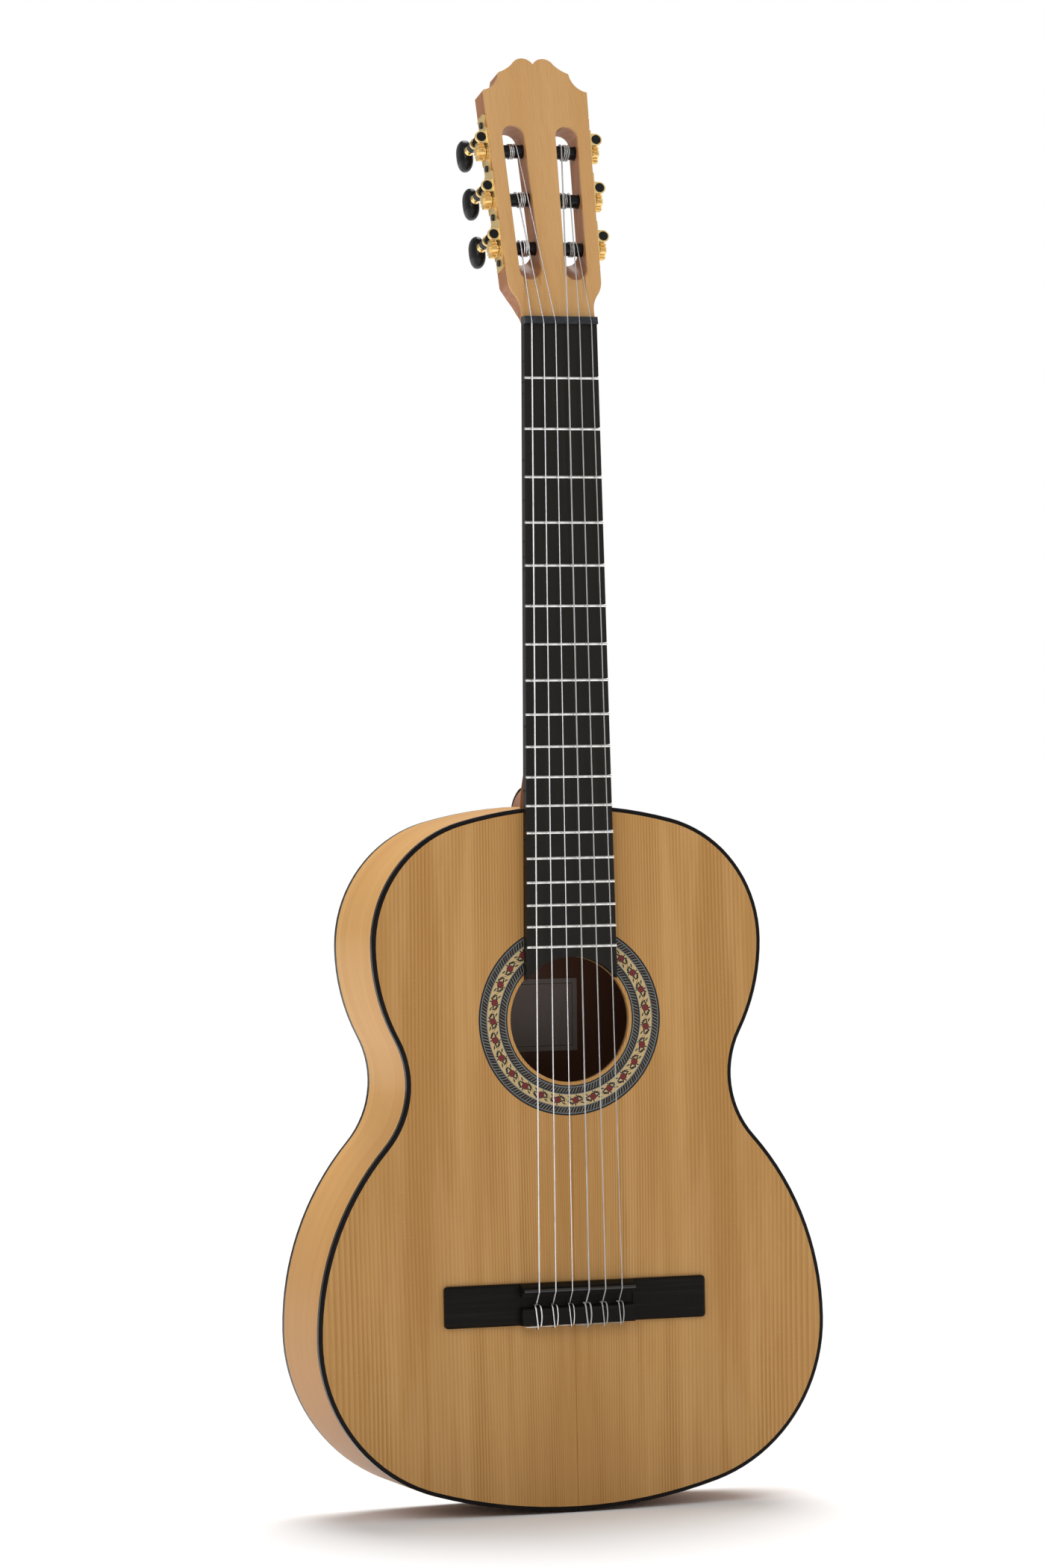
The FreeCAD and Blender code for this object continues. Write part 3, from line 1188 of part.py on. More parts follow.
def round_tube(path, radius):
    """A six-sided tube, as heavy as a round one, along a path of lines and tangent arcs."""
    first = path.OrderedEdges[0]
    start = first.valueAt(first.FirstParameter)
    way = first.tangentAt(first.FirstParameter)
    aside = way.cross(ACROSS if abs(way.x) < abs(way.y) else BACKWARD).normalize()
    over = way.cross(aside)
    sixth = math.pi / 3
    size = radius * math.sqrt(sixth / math.sin(sixth))
    points = [start + (aside * math.cos(k * sixth) + over * math.sin(k * sixth)) * size for k in range(6)]
    return path.makePipeShell([Part.makePolygon(points + points[:1])], True, False)


def least_gap(path, radius):
    """Least gap of a tube to itself, measured on points along its path."""
    points = path.discretize(Distance=radius)
    skip = int(3 * math.pi)
    least = min((points[i] - points[j]).Length for i in range(len(points))
                for j in range(i + skip, len(points)))
    return least - 2 * radius


def coil_wire(number, way, wrap_out):
    """The turns of string on a roller, beside the stretch that comes from the nut."""
    radius = string_radius(number)
    around = BARREL_RADIUS + COIL_SEAT + radius
    pitch = 2 * radius + COIL_SPACE
    direction = -1 if WRAP_OFFSETS[roller_index(number)] > 0 else 1
    begin = wrap_out + direction * pitch
    centre = V(0, ROLLER_DEPTH, way)

    def place(angle):
        return centre + V(begin + direction * pitch * angle / (2 * math.pi),
                          around * math.sin(angle), around * math.cos(angle))

    def heading(angle):
        rise = direction * pitch / (2 * math.pi)
        return V(rise, around * math.cos(angle), -around * math.sin(angle)).normalize()

    edges = []
    quarter = math.pi / 2
    for index in range(COIL_TURNS * 4):
        low, high = index * quarter, (index + 1) * quarter
        edges += biarc(place(low), heading(low), place(high), heading(high))
    return Part.Wire(edges)


def roller_index(number):
    """Outer strings go to the rollers nearest the nut."""
    return min(number, len(STRING_DIAMETERS) + 1 - number) - 1


def string_sign(number):
    return -1 if number <= len(STRING_DIAMETERS) / 2 else 1


def wrap_out(number):
    """Where across the slot the string meets its roller."""
    return WRAP_OFFSETS[roller_index(number)] - SLOT_INSET


def make_string_coil(number):
    way = roller_places()[roller_index(number)]
    path = coil_wire(number, way, wrap_out(number))
    gap = least_gap(path, string_radius(number))
    print("coil", number, "least gap", round(gap, 2))
    return on_head_side(round_tube(path, string_radius(number)), string_sign(number))


def roller_centre(number):
    """The point on a roller's axis where its string wraps."""
    way = roller_places()[roller_index(number)]
    marker = Part.Vertex(V(wrap_out(number), ROLLER_DEPTH, way))
    return on_head_side(marker, string_sign(number)).Point


def nut_break(number):
    """Where a string bends over the nut."""
    x = string_offset(number, STRING_SPAN_AT_NUT)
    return V(x, -STRING_HEIGHT_AT_NUT - string_radius(number), NUT_BREAK)


def wrap_frame(number):
    """The plane in which a string runs from the nut to its roller, and the wrap's start angle."""
    inward = head_directions()[1]
    centre = roller_centre(number)
    start = nut_break(number)
    link = centre - start
    level = (link - inward * link.dot(inward)).normalize()
    run, fall = link.dot(level), link.dot(inward)
    around = BARREL_RADIUS + WRAP_CLEARANCE + string_radius(number)
    lean = math.atan2(fall, run) - math.asin(around / math.hypot(run, fall))
    return centre, level, inward, around, lean


def wrap_point(frame, angle):
    centre, level, inward, around = frame[:4]
    return centre + level * (around * math.cos(angle)) + inward * (around * math.sin(angle))


def saddle_bend(number, before, after):
    """Corner whose rounding runs about the saddle's crown."""
    around = SADDLE_THICKNESS / 2 + string_radius(number) + STRING_SEAT
    crown = -string_height_at_saddle() + SADDLE_THICKNESS / 2
    x = string_offset(number, STRING_SPAN_AT_SADDLE)
    centre = V(x, crown, SADDLE_Z)
    corner = centre - BACKWARD * around
    for _ in range(5):
        come = (corner - before).normalize()
        leave = (after - corner).normalize()
        bisector = (leave - come).normalize()
        half_turn = math.acos(come.dot(leave)) / 2
        corner = centre - bisector * (around / math.cos(half_turn))
    return corner, around


def knot_points(number):
    """The tie: through the block, over it, round the string, back over it and out sideways."""
    radius = string_radius(number)
    x = string_offset(number, STRING_SPAN_AT_SADDLE)
    rear = BRIDGE_TOP_Z - BRIDGE_WIDTH
    tie_front = rear + TIE_BLOCK_WIDTH
    over = -(TIE_BLOCK_HEIGHT + KNOT_SEAT + radius)
    under = -(VALLEY_HEIGHT + KNOT_SEAT + radius)
    spread = 2 * radius + KNOT_SPACE
    tail_z = rear - KNOT_SEAT - radius
    rise_z = tail_z - spread
    front_z = tie_front + KNOT_LEAD
    level = -TIE_HOLE_HEIGHT
    return [V(x, level, tie_front + radius), V(x, level, rise_z), V(x, over, rise_z),
            V(x - spread, over, front_z), V(x - spread, under, front_z), V(x + spread, under, front_z),
            V(x + spread, over, front_z), V(x + spread * KNOT_BULGE_SHARE, over, (tie_front + rear) / 2),
            V(x + spread, over, tail_z), V(x + spread, level - spread, tail_z),
            V(x - TAIL_LENGTH, level - spread, tail_z)]


def rounded_route(points, radii):
    """Straight runs with a tangent arc at each corner; a radius of None takes what its runs allow."""
    edges = []
    at = points[0]
    for before, corner, after, radius in zip(points, points[1:], points[2:], radii):
        come = (corner - before).normalize()
        leave = (after - corner).normalize()
        half_turn = math.acos(max(-1.0, min(1.0, come.dot(leave)))) / 2
        reach = CORNER_SHARE * min((corner - before).Length, (after - corner).Length)
        if radius is not None:
            reach = radius * math.tan(half_turn)
        start, end = corner - come * reach, corner + leave * reach
        edges.append(Part.LineSegment(at, start).toShape())
        edges.append(tangent_arc(start, come, end))
        at = end
    edges.append(Part.LineSegment(at, points[-1]).toShape())
    return edges


def make_string(number):
    """A string from its wrap on the roller, over nut and saddle, to its knot at the tie block."""
    radius = string_radius(number)
    frame = wrap_frame(number)
    lean = frame[4]
    first = lean - math.pi / 2
    turn = math.radians(WRAP_TURN)
    angles = [first + turn * share / 4 for share in (4, 3, 2, 1, 0)]
    spots = [wrap_point(frame, angle) for angle in angles]
    edges = [Part.Arc(*spots[:3]).toShape(), Part.Arc(*spots[2:]).toShape()]
    knot = knot_points(number)
    bend, bend_radius = saddle_bend(number, nut_break(number), knot[0])
    points = [spots[4], nut_break(number), bend] + knot
    radii = [NUT_BEND, bend_radius, KNOT_BEND] + [None] * (len(knot) - 2)
    edges += rounded_route(points, radii)
    path = Part.Wire(edges)
    print("string", number, "length", round(path.Length, 1), "least gap", round(least_gap(path, radius), 2))
    return round_tube(path, radius)


PIECES = {
    "soundboard": make_soundboard, "rosette": make_rosette, "top_binding": make_top_binding,
    "back_plate": make_back_plate, "back_binding": make_back_binding,
    "side_bass": lambda: make_side(-1), "side_treble": lambda: make_side(1),
    "linings": make_linings, "tail_block": make_tail_block,
    "soundboard_braces": make_soundboard_braces, "back_braces": make_back_braces, "label": make_label,
    "neck": make_neck, "heel_cap": make_heel_cap, "headstock": make_headstock,
    "head_veneer": make_head_veneer, "fingerboard": make_fingerboard, "frets": make_frets,
    "nut": make_nut, "bridge": make_bridge, "saddle": make_saddle,
    "tuner_plate_bass": lambda: make_tuner_plate(-1), "tuner_plate_treble": lambda: make_tuner_plate(1),
    "plate_screws": make_plate_screws}


def export(name, shape):
    shape.exportStep("parts/" + name + ".step")


def main():
    os.makedirs("parts", exist_ok=True)
    for name, make in PIECES.items():
        export(name, make())
    for number in STRING_DIAMETERS:
        way = roller_places()[roller_index(number)]
        sign = string_sign(number)
        export(f"string_{number}", make_string(number))
        export(f"string_coil_{number}", make_string_coil(number))
        export(f"roller_{number}", on_head_side(make_roller(way), sign))
        export(f"gear_{number}", on_head_side(make_gear(way), sign))
        export(f"worm_shaft_{number}", on_head_side(make_worm_shaft(way), sign))
        export(f"button_{number}", on_head_side(make_button(way), sign))


main()
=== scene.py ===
# %% [markdown]
# # Dressing a flamenco guitar
# The guitar's solids come from its CAD model. Here each one gets the surface it has in real life: spruce
# with fine straight grain, golden cypress, reddish cedar, black ebony, gilt tuning machines and
# silver-wound strings. Blender's lengths are metres. The guitar's own sizes are written in millimetres, as
# its maker would. X points to the treble side, Y to the back and Z up along the neck.

# %% Tools and the frame
import json
import math
import bpy
import numpy as np
from mathutils import Matrix, Vector


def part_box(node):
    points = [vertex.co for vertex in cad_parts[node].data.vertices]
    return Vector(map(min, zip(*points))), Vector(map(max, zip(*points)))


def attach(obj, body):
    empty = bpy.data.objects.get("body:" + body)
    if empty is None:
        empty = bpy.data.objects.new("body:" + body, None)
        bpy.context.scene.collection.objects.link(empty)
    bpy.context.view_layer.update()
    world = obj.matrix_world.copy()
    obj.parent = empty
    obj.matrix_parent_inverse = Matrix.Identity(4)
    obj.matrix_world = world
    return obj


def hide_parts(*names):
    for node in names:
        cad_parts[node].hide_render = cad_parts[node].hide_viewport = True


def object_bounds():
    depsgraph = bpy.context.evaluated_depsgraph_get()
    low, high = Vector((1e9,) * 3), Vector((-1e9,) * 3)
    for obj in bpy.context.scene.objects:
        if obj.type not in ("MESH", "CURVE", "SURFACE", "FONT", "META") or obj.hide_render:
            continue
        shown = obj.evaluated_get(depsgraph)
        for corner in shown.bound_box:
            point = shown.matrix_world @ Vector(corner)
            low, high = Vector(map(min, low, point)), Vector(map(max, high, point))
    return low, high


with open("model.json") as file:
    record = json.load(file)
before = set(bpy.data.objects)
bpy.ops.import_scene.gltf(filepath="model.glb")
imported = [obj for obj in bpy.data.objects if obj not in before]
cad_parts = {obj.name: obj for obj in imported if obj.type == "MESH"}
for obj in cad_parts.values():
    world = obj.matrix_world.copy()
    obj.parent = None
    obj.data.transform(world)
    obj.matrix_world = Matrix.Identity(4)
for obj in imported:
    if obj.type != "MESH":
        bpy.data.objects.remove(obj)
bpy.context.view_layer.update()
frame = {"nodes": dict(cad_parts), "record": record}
print("pieces in the frame:", len(frame["nodes"]))

# %% [markdown]
# ## A small language for shaders
# A node tree is easiest to read as a formula. `Wire` wraps one socket of a tree, and its operators add Math
# nodes, so `(x * 300).sin() * 0.5 + 0.5` draws stripes. One method, `node`, adds any other node.

# %% A wire and its arithmetic
MIX_FACTOR, MIX_LOW, MIX_HIGH, MIX_RESULT = 0, 6, 7, 2
SOFT_EDGE = 0.06


def operator(operation):
    """A Math node as an operator, and as its reflected form, which makes 1 - mask work."""

    def straight(wire, other):
        return wire.math(operation, other)

    def reflected(wire, other):
        return wire.node("ShaderNodeMath", {0: other, 1: wire}, operation=operation)

    return straight, reflected


class Wire:
    """One socket of a node tree, with arithmetic written as it is said."""

    def __init__(self, tree, socket):
        self.tree = tree
        self.socket = socket

    def node(self, kind, inputs, output=0, stops=(), **settings):
        """Adds a node. Its inputs are {name or number: Wire or constant}, a ramp's stops (place, colour)."""
        made = self.tree.nodes.new(kind)
        for key, value in settings.items():
            setattr(made, key, value)
        for index, (place, shade) in enumerate(stops):
            ramp = made.color_ramp
            ramp.interpolation = "CONSTANT"
            stop = ramp.elements.new(place) if index else ramp.elements[0]
            stop.position, stop.color = place, shade
        for key, value in inputs.items():
            if isinstance(value, Wire):
                self.tree.links.new(value.socket, made.inputs[key])
            else:
                made.inputs[key].default_value = value
        return Wire(self.tree, made.outputs[output])

    def math(self, operation, *others):
        """A Math node of this value and the others."""
        return self.node("ShaderNodeMath", dict(enumerate((self, *others))), operation=operation)

    __add__, __radd__ = operator("ADD")
    __sub__, __rsub__ = operator("SUBTRACT")
    __mul__, __rmul__ = operator("MULTIPLY")
    __truediv__, __rtruediv__ = operator("DIVIDE")
    __mod__, __rmod__ = operator("FLOORED_MODULO")

    def __abs__(self):
        return self.math("ABSOLUTE")

    def sin(self):
        return self.math("SINE")

    def root(self):
        return self.math("SQRT")

    def angle_to(self, other):
        """The angle whose tangent is the other value over this one."""
        return other.math("ARCTAN2", self)

    def part(self, axis):
        """One coordinate of a vector, 0 for X, 1 for Y, 2 for Z."""
        return self.node("ShaderNodeSeparateXYZ", {0: self}, output=axis)

    def along(self, way):
        """How far a place lies in a direction, the dot product."""
        return self.node("ShaderNodeVectorMath", {0: self, 1: way}, output="Value", operation="DOT_PRODUCT")

    def stretch(self, scale):
        """A vector times another, axis by axis."""
        return self.node("ShaderNodeVectorMath", {0: self, 1: scale}, operation="MULTIPLY")

    def step(self, low, high):
        """Rises smoothly from 0 at low to 1 at high."""
        return self.node("ShaderNodeMapRange", {0: self, 1: low, 2: high}, interpolation_type="SMOOTHSTEP")

    def below(self, limit, edge=SOFT_EDGE):
        """1 below the limit and 0 above it, with a soft edge."""
        return 1 - self.step(limit - edge, limit + edge)

    def between(self, low, high, edge=SOFT_EDGE):
        """1 between low and high and 0 outside, with soft edges."""
        return self.step(low - edge, low + edge) * self.below(high, edge)

    def noise(self, scale=1.0, detail=3.0, roughness=0.5):
        """Smooth random values from 0 to 1."""
        inputs = {"Vector": self, "Scale": scale, "Detail": detail, "Roughness": roughness}
        return self.node("ShaderNodeTexNoise", inputs, output="Fac")

    def mix(self, low, high):
        """The colour low where this is 0, and high where it is 1."""
        inputs = {MIX_FACTOR: self, MIX_LOW: low, MIX_HIGH: high}
        return self.node("ShaderNodeMix", inputs, output=MIX_RESULT, data_type="RGBA")

    def bands(self, stops):
        """The colour of the last stop that lies below this value."""
        return self.node("ShaderNodeValToRGB", {0: self}, stops=stops)


def vector(x, y, z):
    """A vector from three numbers, of which the first is a Wire."""
    return x.node("ShaderNodeCombineXYZ", {0: x, 1: y, 2: z})


print("things a wire can do:", sum(callable(value) for value in vars(Wire).values()))

# %% [markdown]
# ## Paints
# A paint is a material with one Principled shader, which covers wood, metal, lacquer and paper. Its
# patterns read Object coordinates, so they go through a piece as grain goes through a plank, and stay with
# it when it turns. Each finished paint is kept under the material slot that it is for, or under one piece's
# own name.

# %% The list of paints
MILLIMETRES = (1000.0, 1000.0, 1000.0)
slot_of = {part["node"]: part["material_slot"] for part in frame["record"]["subparts"]}
paints = {}


def colour(red, green, blue):
    return (red, green, blue, 1.0)


class Paint:
    """A material whose Principled shader is filled in by name. Its place is the surface point in mm."""

    def __init__(self, name, **constants):
        self.material = bpy.data.materials.new(name)
        self.material.use_nodes = True
        self.tree = self.material.node_tree
        self.shader = self.tree.nodes["Principled BSDF"]
        corner = self.tree.nodes.new("ShaderNodeTexCoord")
        self.place = Wire(self.tree, corner.outputs["Object"]).stretch(MILLIMETRES)
        self.x, self.y, self.z = (self.place.part(axis) for axis in range(3))
        self.map = Wire(self.tree, corner.outputs["UV"])
        for key, value in constants.items():
            self.set(key.replace("_", " "), value)

    def set(self, name, value):
        """Links a wire to a socket of the shader, or writes a constant into it."""
        socket = self.shader.inputs[name]
        if isinstance(value, Wire):
            self.tree.links.new(value.socket, socket)
        else:
            socket.default_value = value

    def bump(self, height, millimetres):
        """Raises the surface by the height, which runs from 0 to 1, times so many millimetres."""
        inputs = {"Height": height, "Distance": millimetres / 1000}
        self.set("Normal", height.node("ShaderNodeBump", inputs, output="Normal"))

    def varnish(self, weight, roughness):
        """A clear coat over the finish."""
        self.set("Coat Weight", weight)
        self.set("Coat Roughness", roughness)


def keep(key, paint):
    """Files a paint under its slot or its piece, and says how many shader nodes it took."""
    paints[key] = paint
    print(key, "has", len(paint.tree.nodes), "shader nodes")


print("slots to paint:", len(set(slot_of.values())))

# %% [markdown]
# ## How wood is painted
# Sawn on the quarter, a plank shows its growth rings as straight lines: pale early wood that slowly darkens
# and ends at a thin dark line. So the grain is a saw-tooth wave of the distance across the plank. Slow
# noise bends the lines and changes their spacing, long fine noise draws the fibres, and broad noise tints
# whole stretches of the board. Varnish sinks a little into the fibres, so the wood is duller there.

# %% Growth rings
WOOD_GLOSS = 0.16
DRIFT, SPACING, STRENGTH = (0.006, 0.0016), (0.035, 0.0), (0.11, 0.003)
FIBRE, BROAD = (2.6, 0.035), (0.03, 0.0022)
SPACING_RINGS = 5.0
FAINTEST_RING = 0.4
BROAD_TINT = 0.55
FIBRE_RELIEF, RING_RELIEF, WOOD_RELIEF = 0.7, 0.3, 0.03


def streaks(across, along, fineness, seed, detail=3.0, roughness=0.5):
    """Noise drawn out one way: its fineness is in spots to the millimetre, across and along."""
    return vector(across * fineness[0], along * fineness[1], seed).noise(detail=detail, roughness=roughness)


def wood(paint, across, along, colours, rough, ring, contrast, wander, fibre, seed):
    """Growth rings: late wood is a saw-tooth of across / ring, bent by noise of the length. Lengths in mm.
    The colours are early wood, late wood and tint, and rough holds the least and the greatest roughness."""
    early, late, tint = colours
    bent = across + streaks(across, along, DRIFT, seed, detail=1.0) * wander
    spacing = streaks(bent, along, SPACING, seed, detail=1.0)
    saw = (bent / ring + spacing * SPACING_RINGS) % 1.0
    dark = saw.step(0.1, 0.8) * (1 - saw.step(0.86, 1.0))
    strength = streaks(bent, along, STRENGTH, seed + 3.0, detail=2.0).step(0.3, 0.7)
    lines = dark * (strength * (1 - FAINTEST_RING) + FAINTEST_RING) * contrast
    fibres = streaks(bent, along, FIBRE, seed + 7.0, detail=4.0, roughness=0.65)
    broad = streaks(bent, along, BROAD, seed + 11.0).step(0.36, 0.68)
    shade = lines.mix(early, late)
    shade = (broad * BROAD_TINT).mix(shade, tint)
    shade = (fibres.step(0.45, 0.75) * fibre).mix(shade, late)
    paint.set("Base Color", shade)
    paint.set("Specular IOR Level", WOOD_GLOSS)
    paint.set("Roughness", fibres * (rough[1] - rough[0]) + rough[0])
    paint.bump(fibres * FIBRE_RELIEF + dark * RING_RELIEF, WOOD_RELIEF)
    return shade


print("fibres to the millimetre, across and along:", FIBRE)

# %% [markdown]
# ## The soundboard
# Two halves of one plank are opened like a book and joined down the middle, so the grain of the left half
# mirrors the right. The distance from the middle, without its sign, gives that for nothing. A tree grows
# fast when it is young, so its rings are wide at the edges of the top, and the logarithm of the distance
# spreads them so. Paler and deeper bands run along the plank, and short silky flecks cross the grain where
# the saw met the rays of the tree.

# %% Spruce
RING_GROWTH = 98.0
SPRUCE_EARLY = colour(0.495, 0.272, 0.090)
SPRUCE_LATE = colour(0.255, 0.108, 0.023)
SPRUCE_TINT = colour(0.365, 0.176, 0.043)
SPRUCE_SILK = colour(0.540, 0.320, 0.120)
SPRUCE_PALE = colour(0.600, 0.360, 0.150)
SPRUCE_DEEP = colour(0.300, 0.130, 0.026)
PALE_BAND, PALE_SHARE = (0.13, 0.0035), 0.22
DEEP_BAND, DEEP_SHARE = (0.11, 0.0030), 0.16
SILK_FLECK, SILK_FIELD, SILK_SHARE = (0.16, 1.1), (0.02, 0.012), 0.3
SEAM_LINE = (0.08, 0.3)


def paint_soundboard():
    paint = Paint("spruce_top")
    aside = abs(paint.x)
    across = (aside / RING_GROWTH + 1).math("LOGARITHM", math.e) * RING_GROWTH
    shade = wood(paint, across, paint.z, (SPRUCE_EARLY, SPRUCE_LATE, SPRUCE_TINT), (0.34, 0.5),
                 ring=1.35, contrast=0.6, wander=8.0, fibre=0.24, seed=2.0)
    pale = streaks(across, paint.z, PALE_BAND, 17.0).step(0.48, 0.62)
    deep = streaks(across, paint.z, DEEP_BAND, 29.0).step(0.5, 0.64)
    silk = streaks(aside, paint.z, SILK_FLECK, 5.0, detail=2.0).step(0.56, 0.8)
    field = streaks(aside, paint.z, SILK_FIELD, 9.0, detail=1.0).step(0.4, 0.7)
    shade = (pale * PALE_SHARE).mix(shade, SPRUCE_PALE)
    shade = (deep * DEEP_SHARE).mix(shade, SPRUCE_DEEP)
    shade = (silk * field * SILK_SHARE).mix(shade, SPRUCE_SILK)
    paint.set("Base Color", (1 - aside.step(*SEAM_LINE)).mix(shade, SPRUCE_LATE))
    paint.varnish(0.06, 0.2)
    return paint


keep("spruce_top", paint_soundboard())

# %% [markdown]
# ## Sides
# The ribs are bent from long strips, so their grain runs round the body, and the distance across it is the
# depth Y. They meet at the tail under a thin black strip. Towards the floor the ribs lie in shade, and two
# soft steps of the height Z paint that shade into their colour: painted shade, deeper still at the foot.

# %% Cypress ribs
SIDE_GLOSS = 0.05
CYPRESS_EARLY = colour(0.670, 0.375, 0.128)
CYPRESS_LATE = colour(0.440, 0.195, 0.050)
CYPRESS_TINT = colour(0.560, 0.268, 0.068)
SIDE_PAINTED_SHADE = colour(0.380, 0.175, 0.060)
SIDE_PAINTED_FOOT_SHADE = colour(0.230, 0.098, 0.034)
CYPRESS = (CYPRESS_EARLY, CYPRESS_LATE, CYPRESS_TINT)
LOW_SHADE_RANGE, LOW_SHADE_SHARE = (-840.0, -520.0), 0.9
FOOT_SHADE_RANGE, FOOT_SHADE_SHARE = (-800.0, -690.0), 0.45
STRIP_BLACK = colour(0.012, 0.011, 0.010)
TAIL_STRIP_HALF, TAIL_STRIP_TOP = 2.2, (-700.0, -690.0)
RIB_SLANT = 0.7


def paint_sides():
    paint = Paint("cypress_side")
    shade = wood(paint, paint.y, paint.z + paint.x * RIB_SLANT, CYPRESS, (0.3, 0.44),
                 ring=6.5, contrast=0.22, wander=34.0, fibre=0.16, seed=21.0)
    # Painted shade: the ribs are darkened towards the floor, and darker still at the foot.
    shade = ((1 - paint.z.step(*LOW_SHADE_RANGE)) * LOW_SHADE_SHARE).mix(shade, SIDE_PAINTED_SHADE)
    shade = ((1 - paint.z.step(*FOOT_SHADE_RANGE)) * FOOT_SHADE_SHARE).mix(shade, SIDE_PAINTED_FOOT_SHADE)
    strip = abs(paint.x).below(TAIL_STRIP_HALF) * (1 - paint.z.step(*TAIL_STRIP_TOP))
    paint.set("Base Color", strip.mix(shade, STRIP_BLACK))
    paint.set("Specular IOR Level", SIDE_GLOSS)
    paint.varnish(0.03, 0.15)
    return paint


keep("cypress", paint_sides())

# %% [markdown]
# ## Back
# The back is a domed plate of two halves like the top, with a dark strip of inlay over its joint and a pale
# line in the strip. The inside of the box was never varnished and lies in the shade, so the face that looks
# in is painted darker: its colour is bare wood and painted shade in one. The dome is a shallow part of a
# sphere. Its depth falls nearly with the square of the distance from its middle, and that tells the outer
# face from the inner one.

# %% Cypress back
INNER_BARE_WOOD_PAINTED_SHADE = colour(0.125, 0.052, 0.030)
BACK_STRIP_HALF, BACK_LINE = 2.6, (1.6, 2.2)
DOME_RADIUS = 4600.0
BODY_MIDDLE = -563.0
BODY_DEPTH = 91.0
BACK_MIDDLE_LAYER, LAYER_EDGE = 1.3, 0.3


def paint_back():
    paint = Paint("cypress_back")
    aside = abs(paint.x)
    shade = wood(paint, aside, paint.z, CYPRESS, (0.3, 0.44),
                 ring=2.6, contrast=0.45, wander=16.0, fibre=0.2, seed=33.0)
    shade = aside.below(BACK_STRIP_HALF).mix(shade, STRIP_BLACK)
    shade = aside.between(*BACK_LINE).mix(shade, CYPRESS_EARLY)
    rise = paint.z - BODY_MIDDLE
    depth = paint.y + (paint.x * paint.x + rise * rise) / (2 * DOME_RADIUS)
    # Painted shade: the face that looks into the box is painted dark, as it lies in shade.
    inside = depth.below(BODY_DEPTH - BACK_MIDDLE_LAYER, LAYER_EDGE)
    paint.set("Base Color", inside.mix(shade, INNER_BARE_WOOD_PAINTED_SHADE))
    paint.varnish(0.08, 0.15)
    return paint


keep("back_plate", paint_back())

# %% [markdown]
# ## Neck, head and the wood inside
# The neck and the head are one reddish wood, whose grain runs along them. The head leans back by fourteen
# degrees, so its grain follows the leaning direction. A thin light veneer faces the head, and the linings
# and braces inside are left bare.

# %% Cedar, veneer and bare wood
CEDAR = (colour(0.400, 0.175, 0.075), colour(0.200, 0.070, 0.024), colour(0.300, 0.115, 0.044))
VENEER = (colour(0.605, 0.352, 0.146), colour(0.350, 0.160, 0.048), colour(0.520, 0.280, 0.098))
LINING = (colour(0.300, 0.170, 0.085), colour(0.170, 0.085, 0.038), colour(0.170, 0.085, 0.038))
CEDAR_SLANT = 0.3
HEAD_TILT = math.radians(14.0)
UPRIGHT = (0.0, 0.0, 1.0)
HEAD_UP = (0.0, math.sin(HEAD_TILT), math.cos(HEAD_TILT))


def paint_cedar(name, seed, way):
    paint = Paint(name)
    wood(paint, paint.x + paint.y * CEDAR_SLANT, paint.place.along(way), CEDAR, (0.32, 0.48),
         ring=3.4, contrast=0.3, wander=9.0, fibre=0.45, seed=seed)
    paint.varnish(0.06, 0.2)
    return paint


def paint_veneer():
    paint = Paint("head_veneer")
    wood(paint, paint.x, paint.place.along(HEAD_UP), VENEER, (0.32, 0.44),
         ring=1.15, contrast=0.42, wander=4.0, fibre=0.42, seed=55.0)
    paint.varnish(0.08, 0.18)
    return paint


def paint_lining():
    paint = Paint("lining_wood")
    wood(paint, paint.y, paint.z + paint.x, LINING, (0.6, 0.8),
         ring=1.6, contrast=0.5, wander=5.0, fibre=0.3, seed=61.0)
    return paint


keep("cedar_neck", paint_cedar("cedar_neck", 41.0, UPRIGHT))
keep("headstock", paint_cedar("cedar_head", 47.0, HEAD_UP))
keep("head_veneer", paint_veneer())
keep("lining_wood", paint_lining())

# %% [markdown]
# ## Ebony and binding
# Ebony is nearly black, with open pores that show as short dark dashes along the grain and a few brown
# streaks. The fingerboard's grain runs along the neck and the bridge's runs across the body. The binding
# round the box is black too, but its grain follows the edge, so only its fine fibres show.

# %% Black woods
EBONY_BOARD = colour(0.0120, 0.0105, 0.0085)
EBONY_BRIDGE = colour(0.0062, 0.0056, 0.0046)
EBONY_STREAK = colour(0.0200, 0.0150, 0.0110)
EBONY_PORE = colour(0.0025, 0.0020, 0.0018)
BINDING_BLACK = colour(0.006, 0.005, 0.005)
BINDING_BROWN = colour(0.012, 0.009, 0.008)
STREAK, PORE, RUB = (0.35, 0.008), (5.0, 0.22), (0.06, 0.03)
BINDING_FIBRE = (0.05, 1.6, 0.05)


def paint_ebony(name, across, along, seed, rough, base, gloss):
    """Across and along are the numbers of the axes that the grain crosses and follows."""
    paint = Paint(name, Specular_IOR_Level=gloss)
    span, run = paint.place.part(across), paint.place.part(along)
    streak = streaks(span, run, STREAK, seed, detail=4.0, roughness=0.6).step(0.5, 0.75)
    pores = streaks(span, run, PORE, seed + 2.0, detail=2.0).step(0.62, 0.7)
    rubbed = streaks(span, run, RUB, seed + 5.0)
    shade = (streak * 0.6).mix(base, EBONY_STREAK)
    paint.set("Base Color", (pores * 0.7).mix(shade, EBONY_PORE))
    paint.set("Roughness", rubbed * (rough[1] - rough[0]) + rough[0] + pores * 0.15)
    paint.bump(1 - pores * 0.8, 0.03)
    return paint


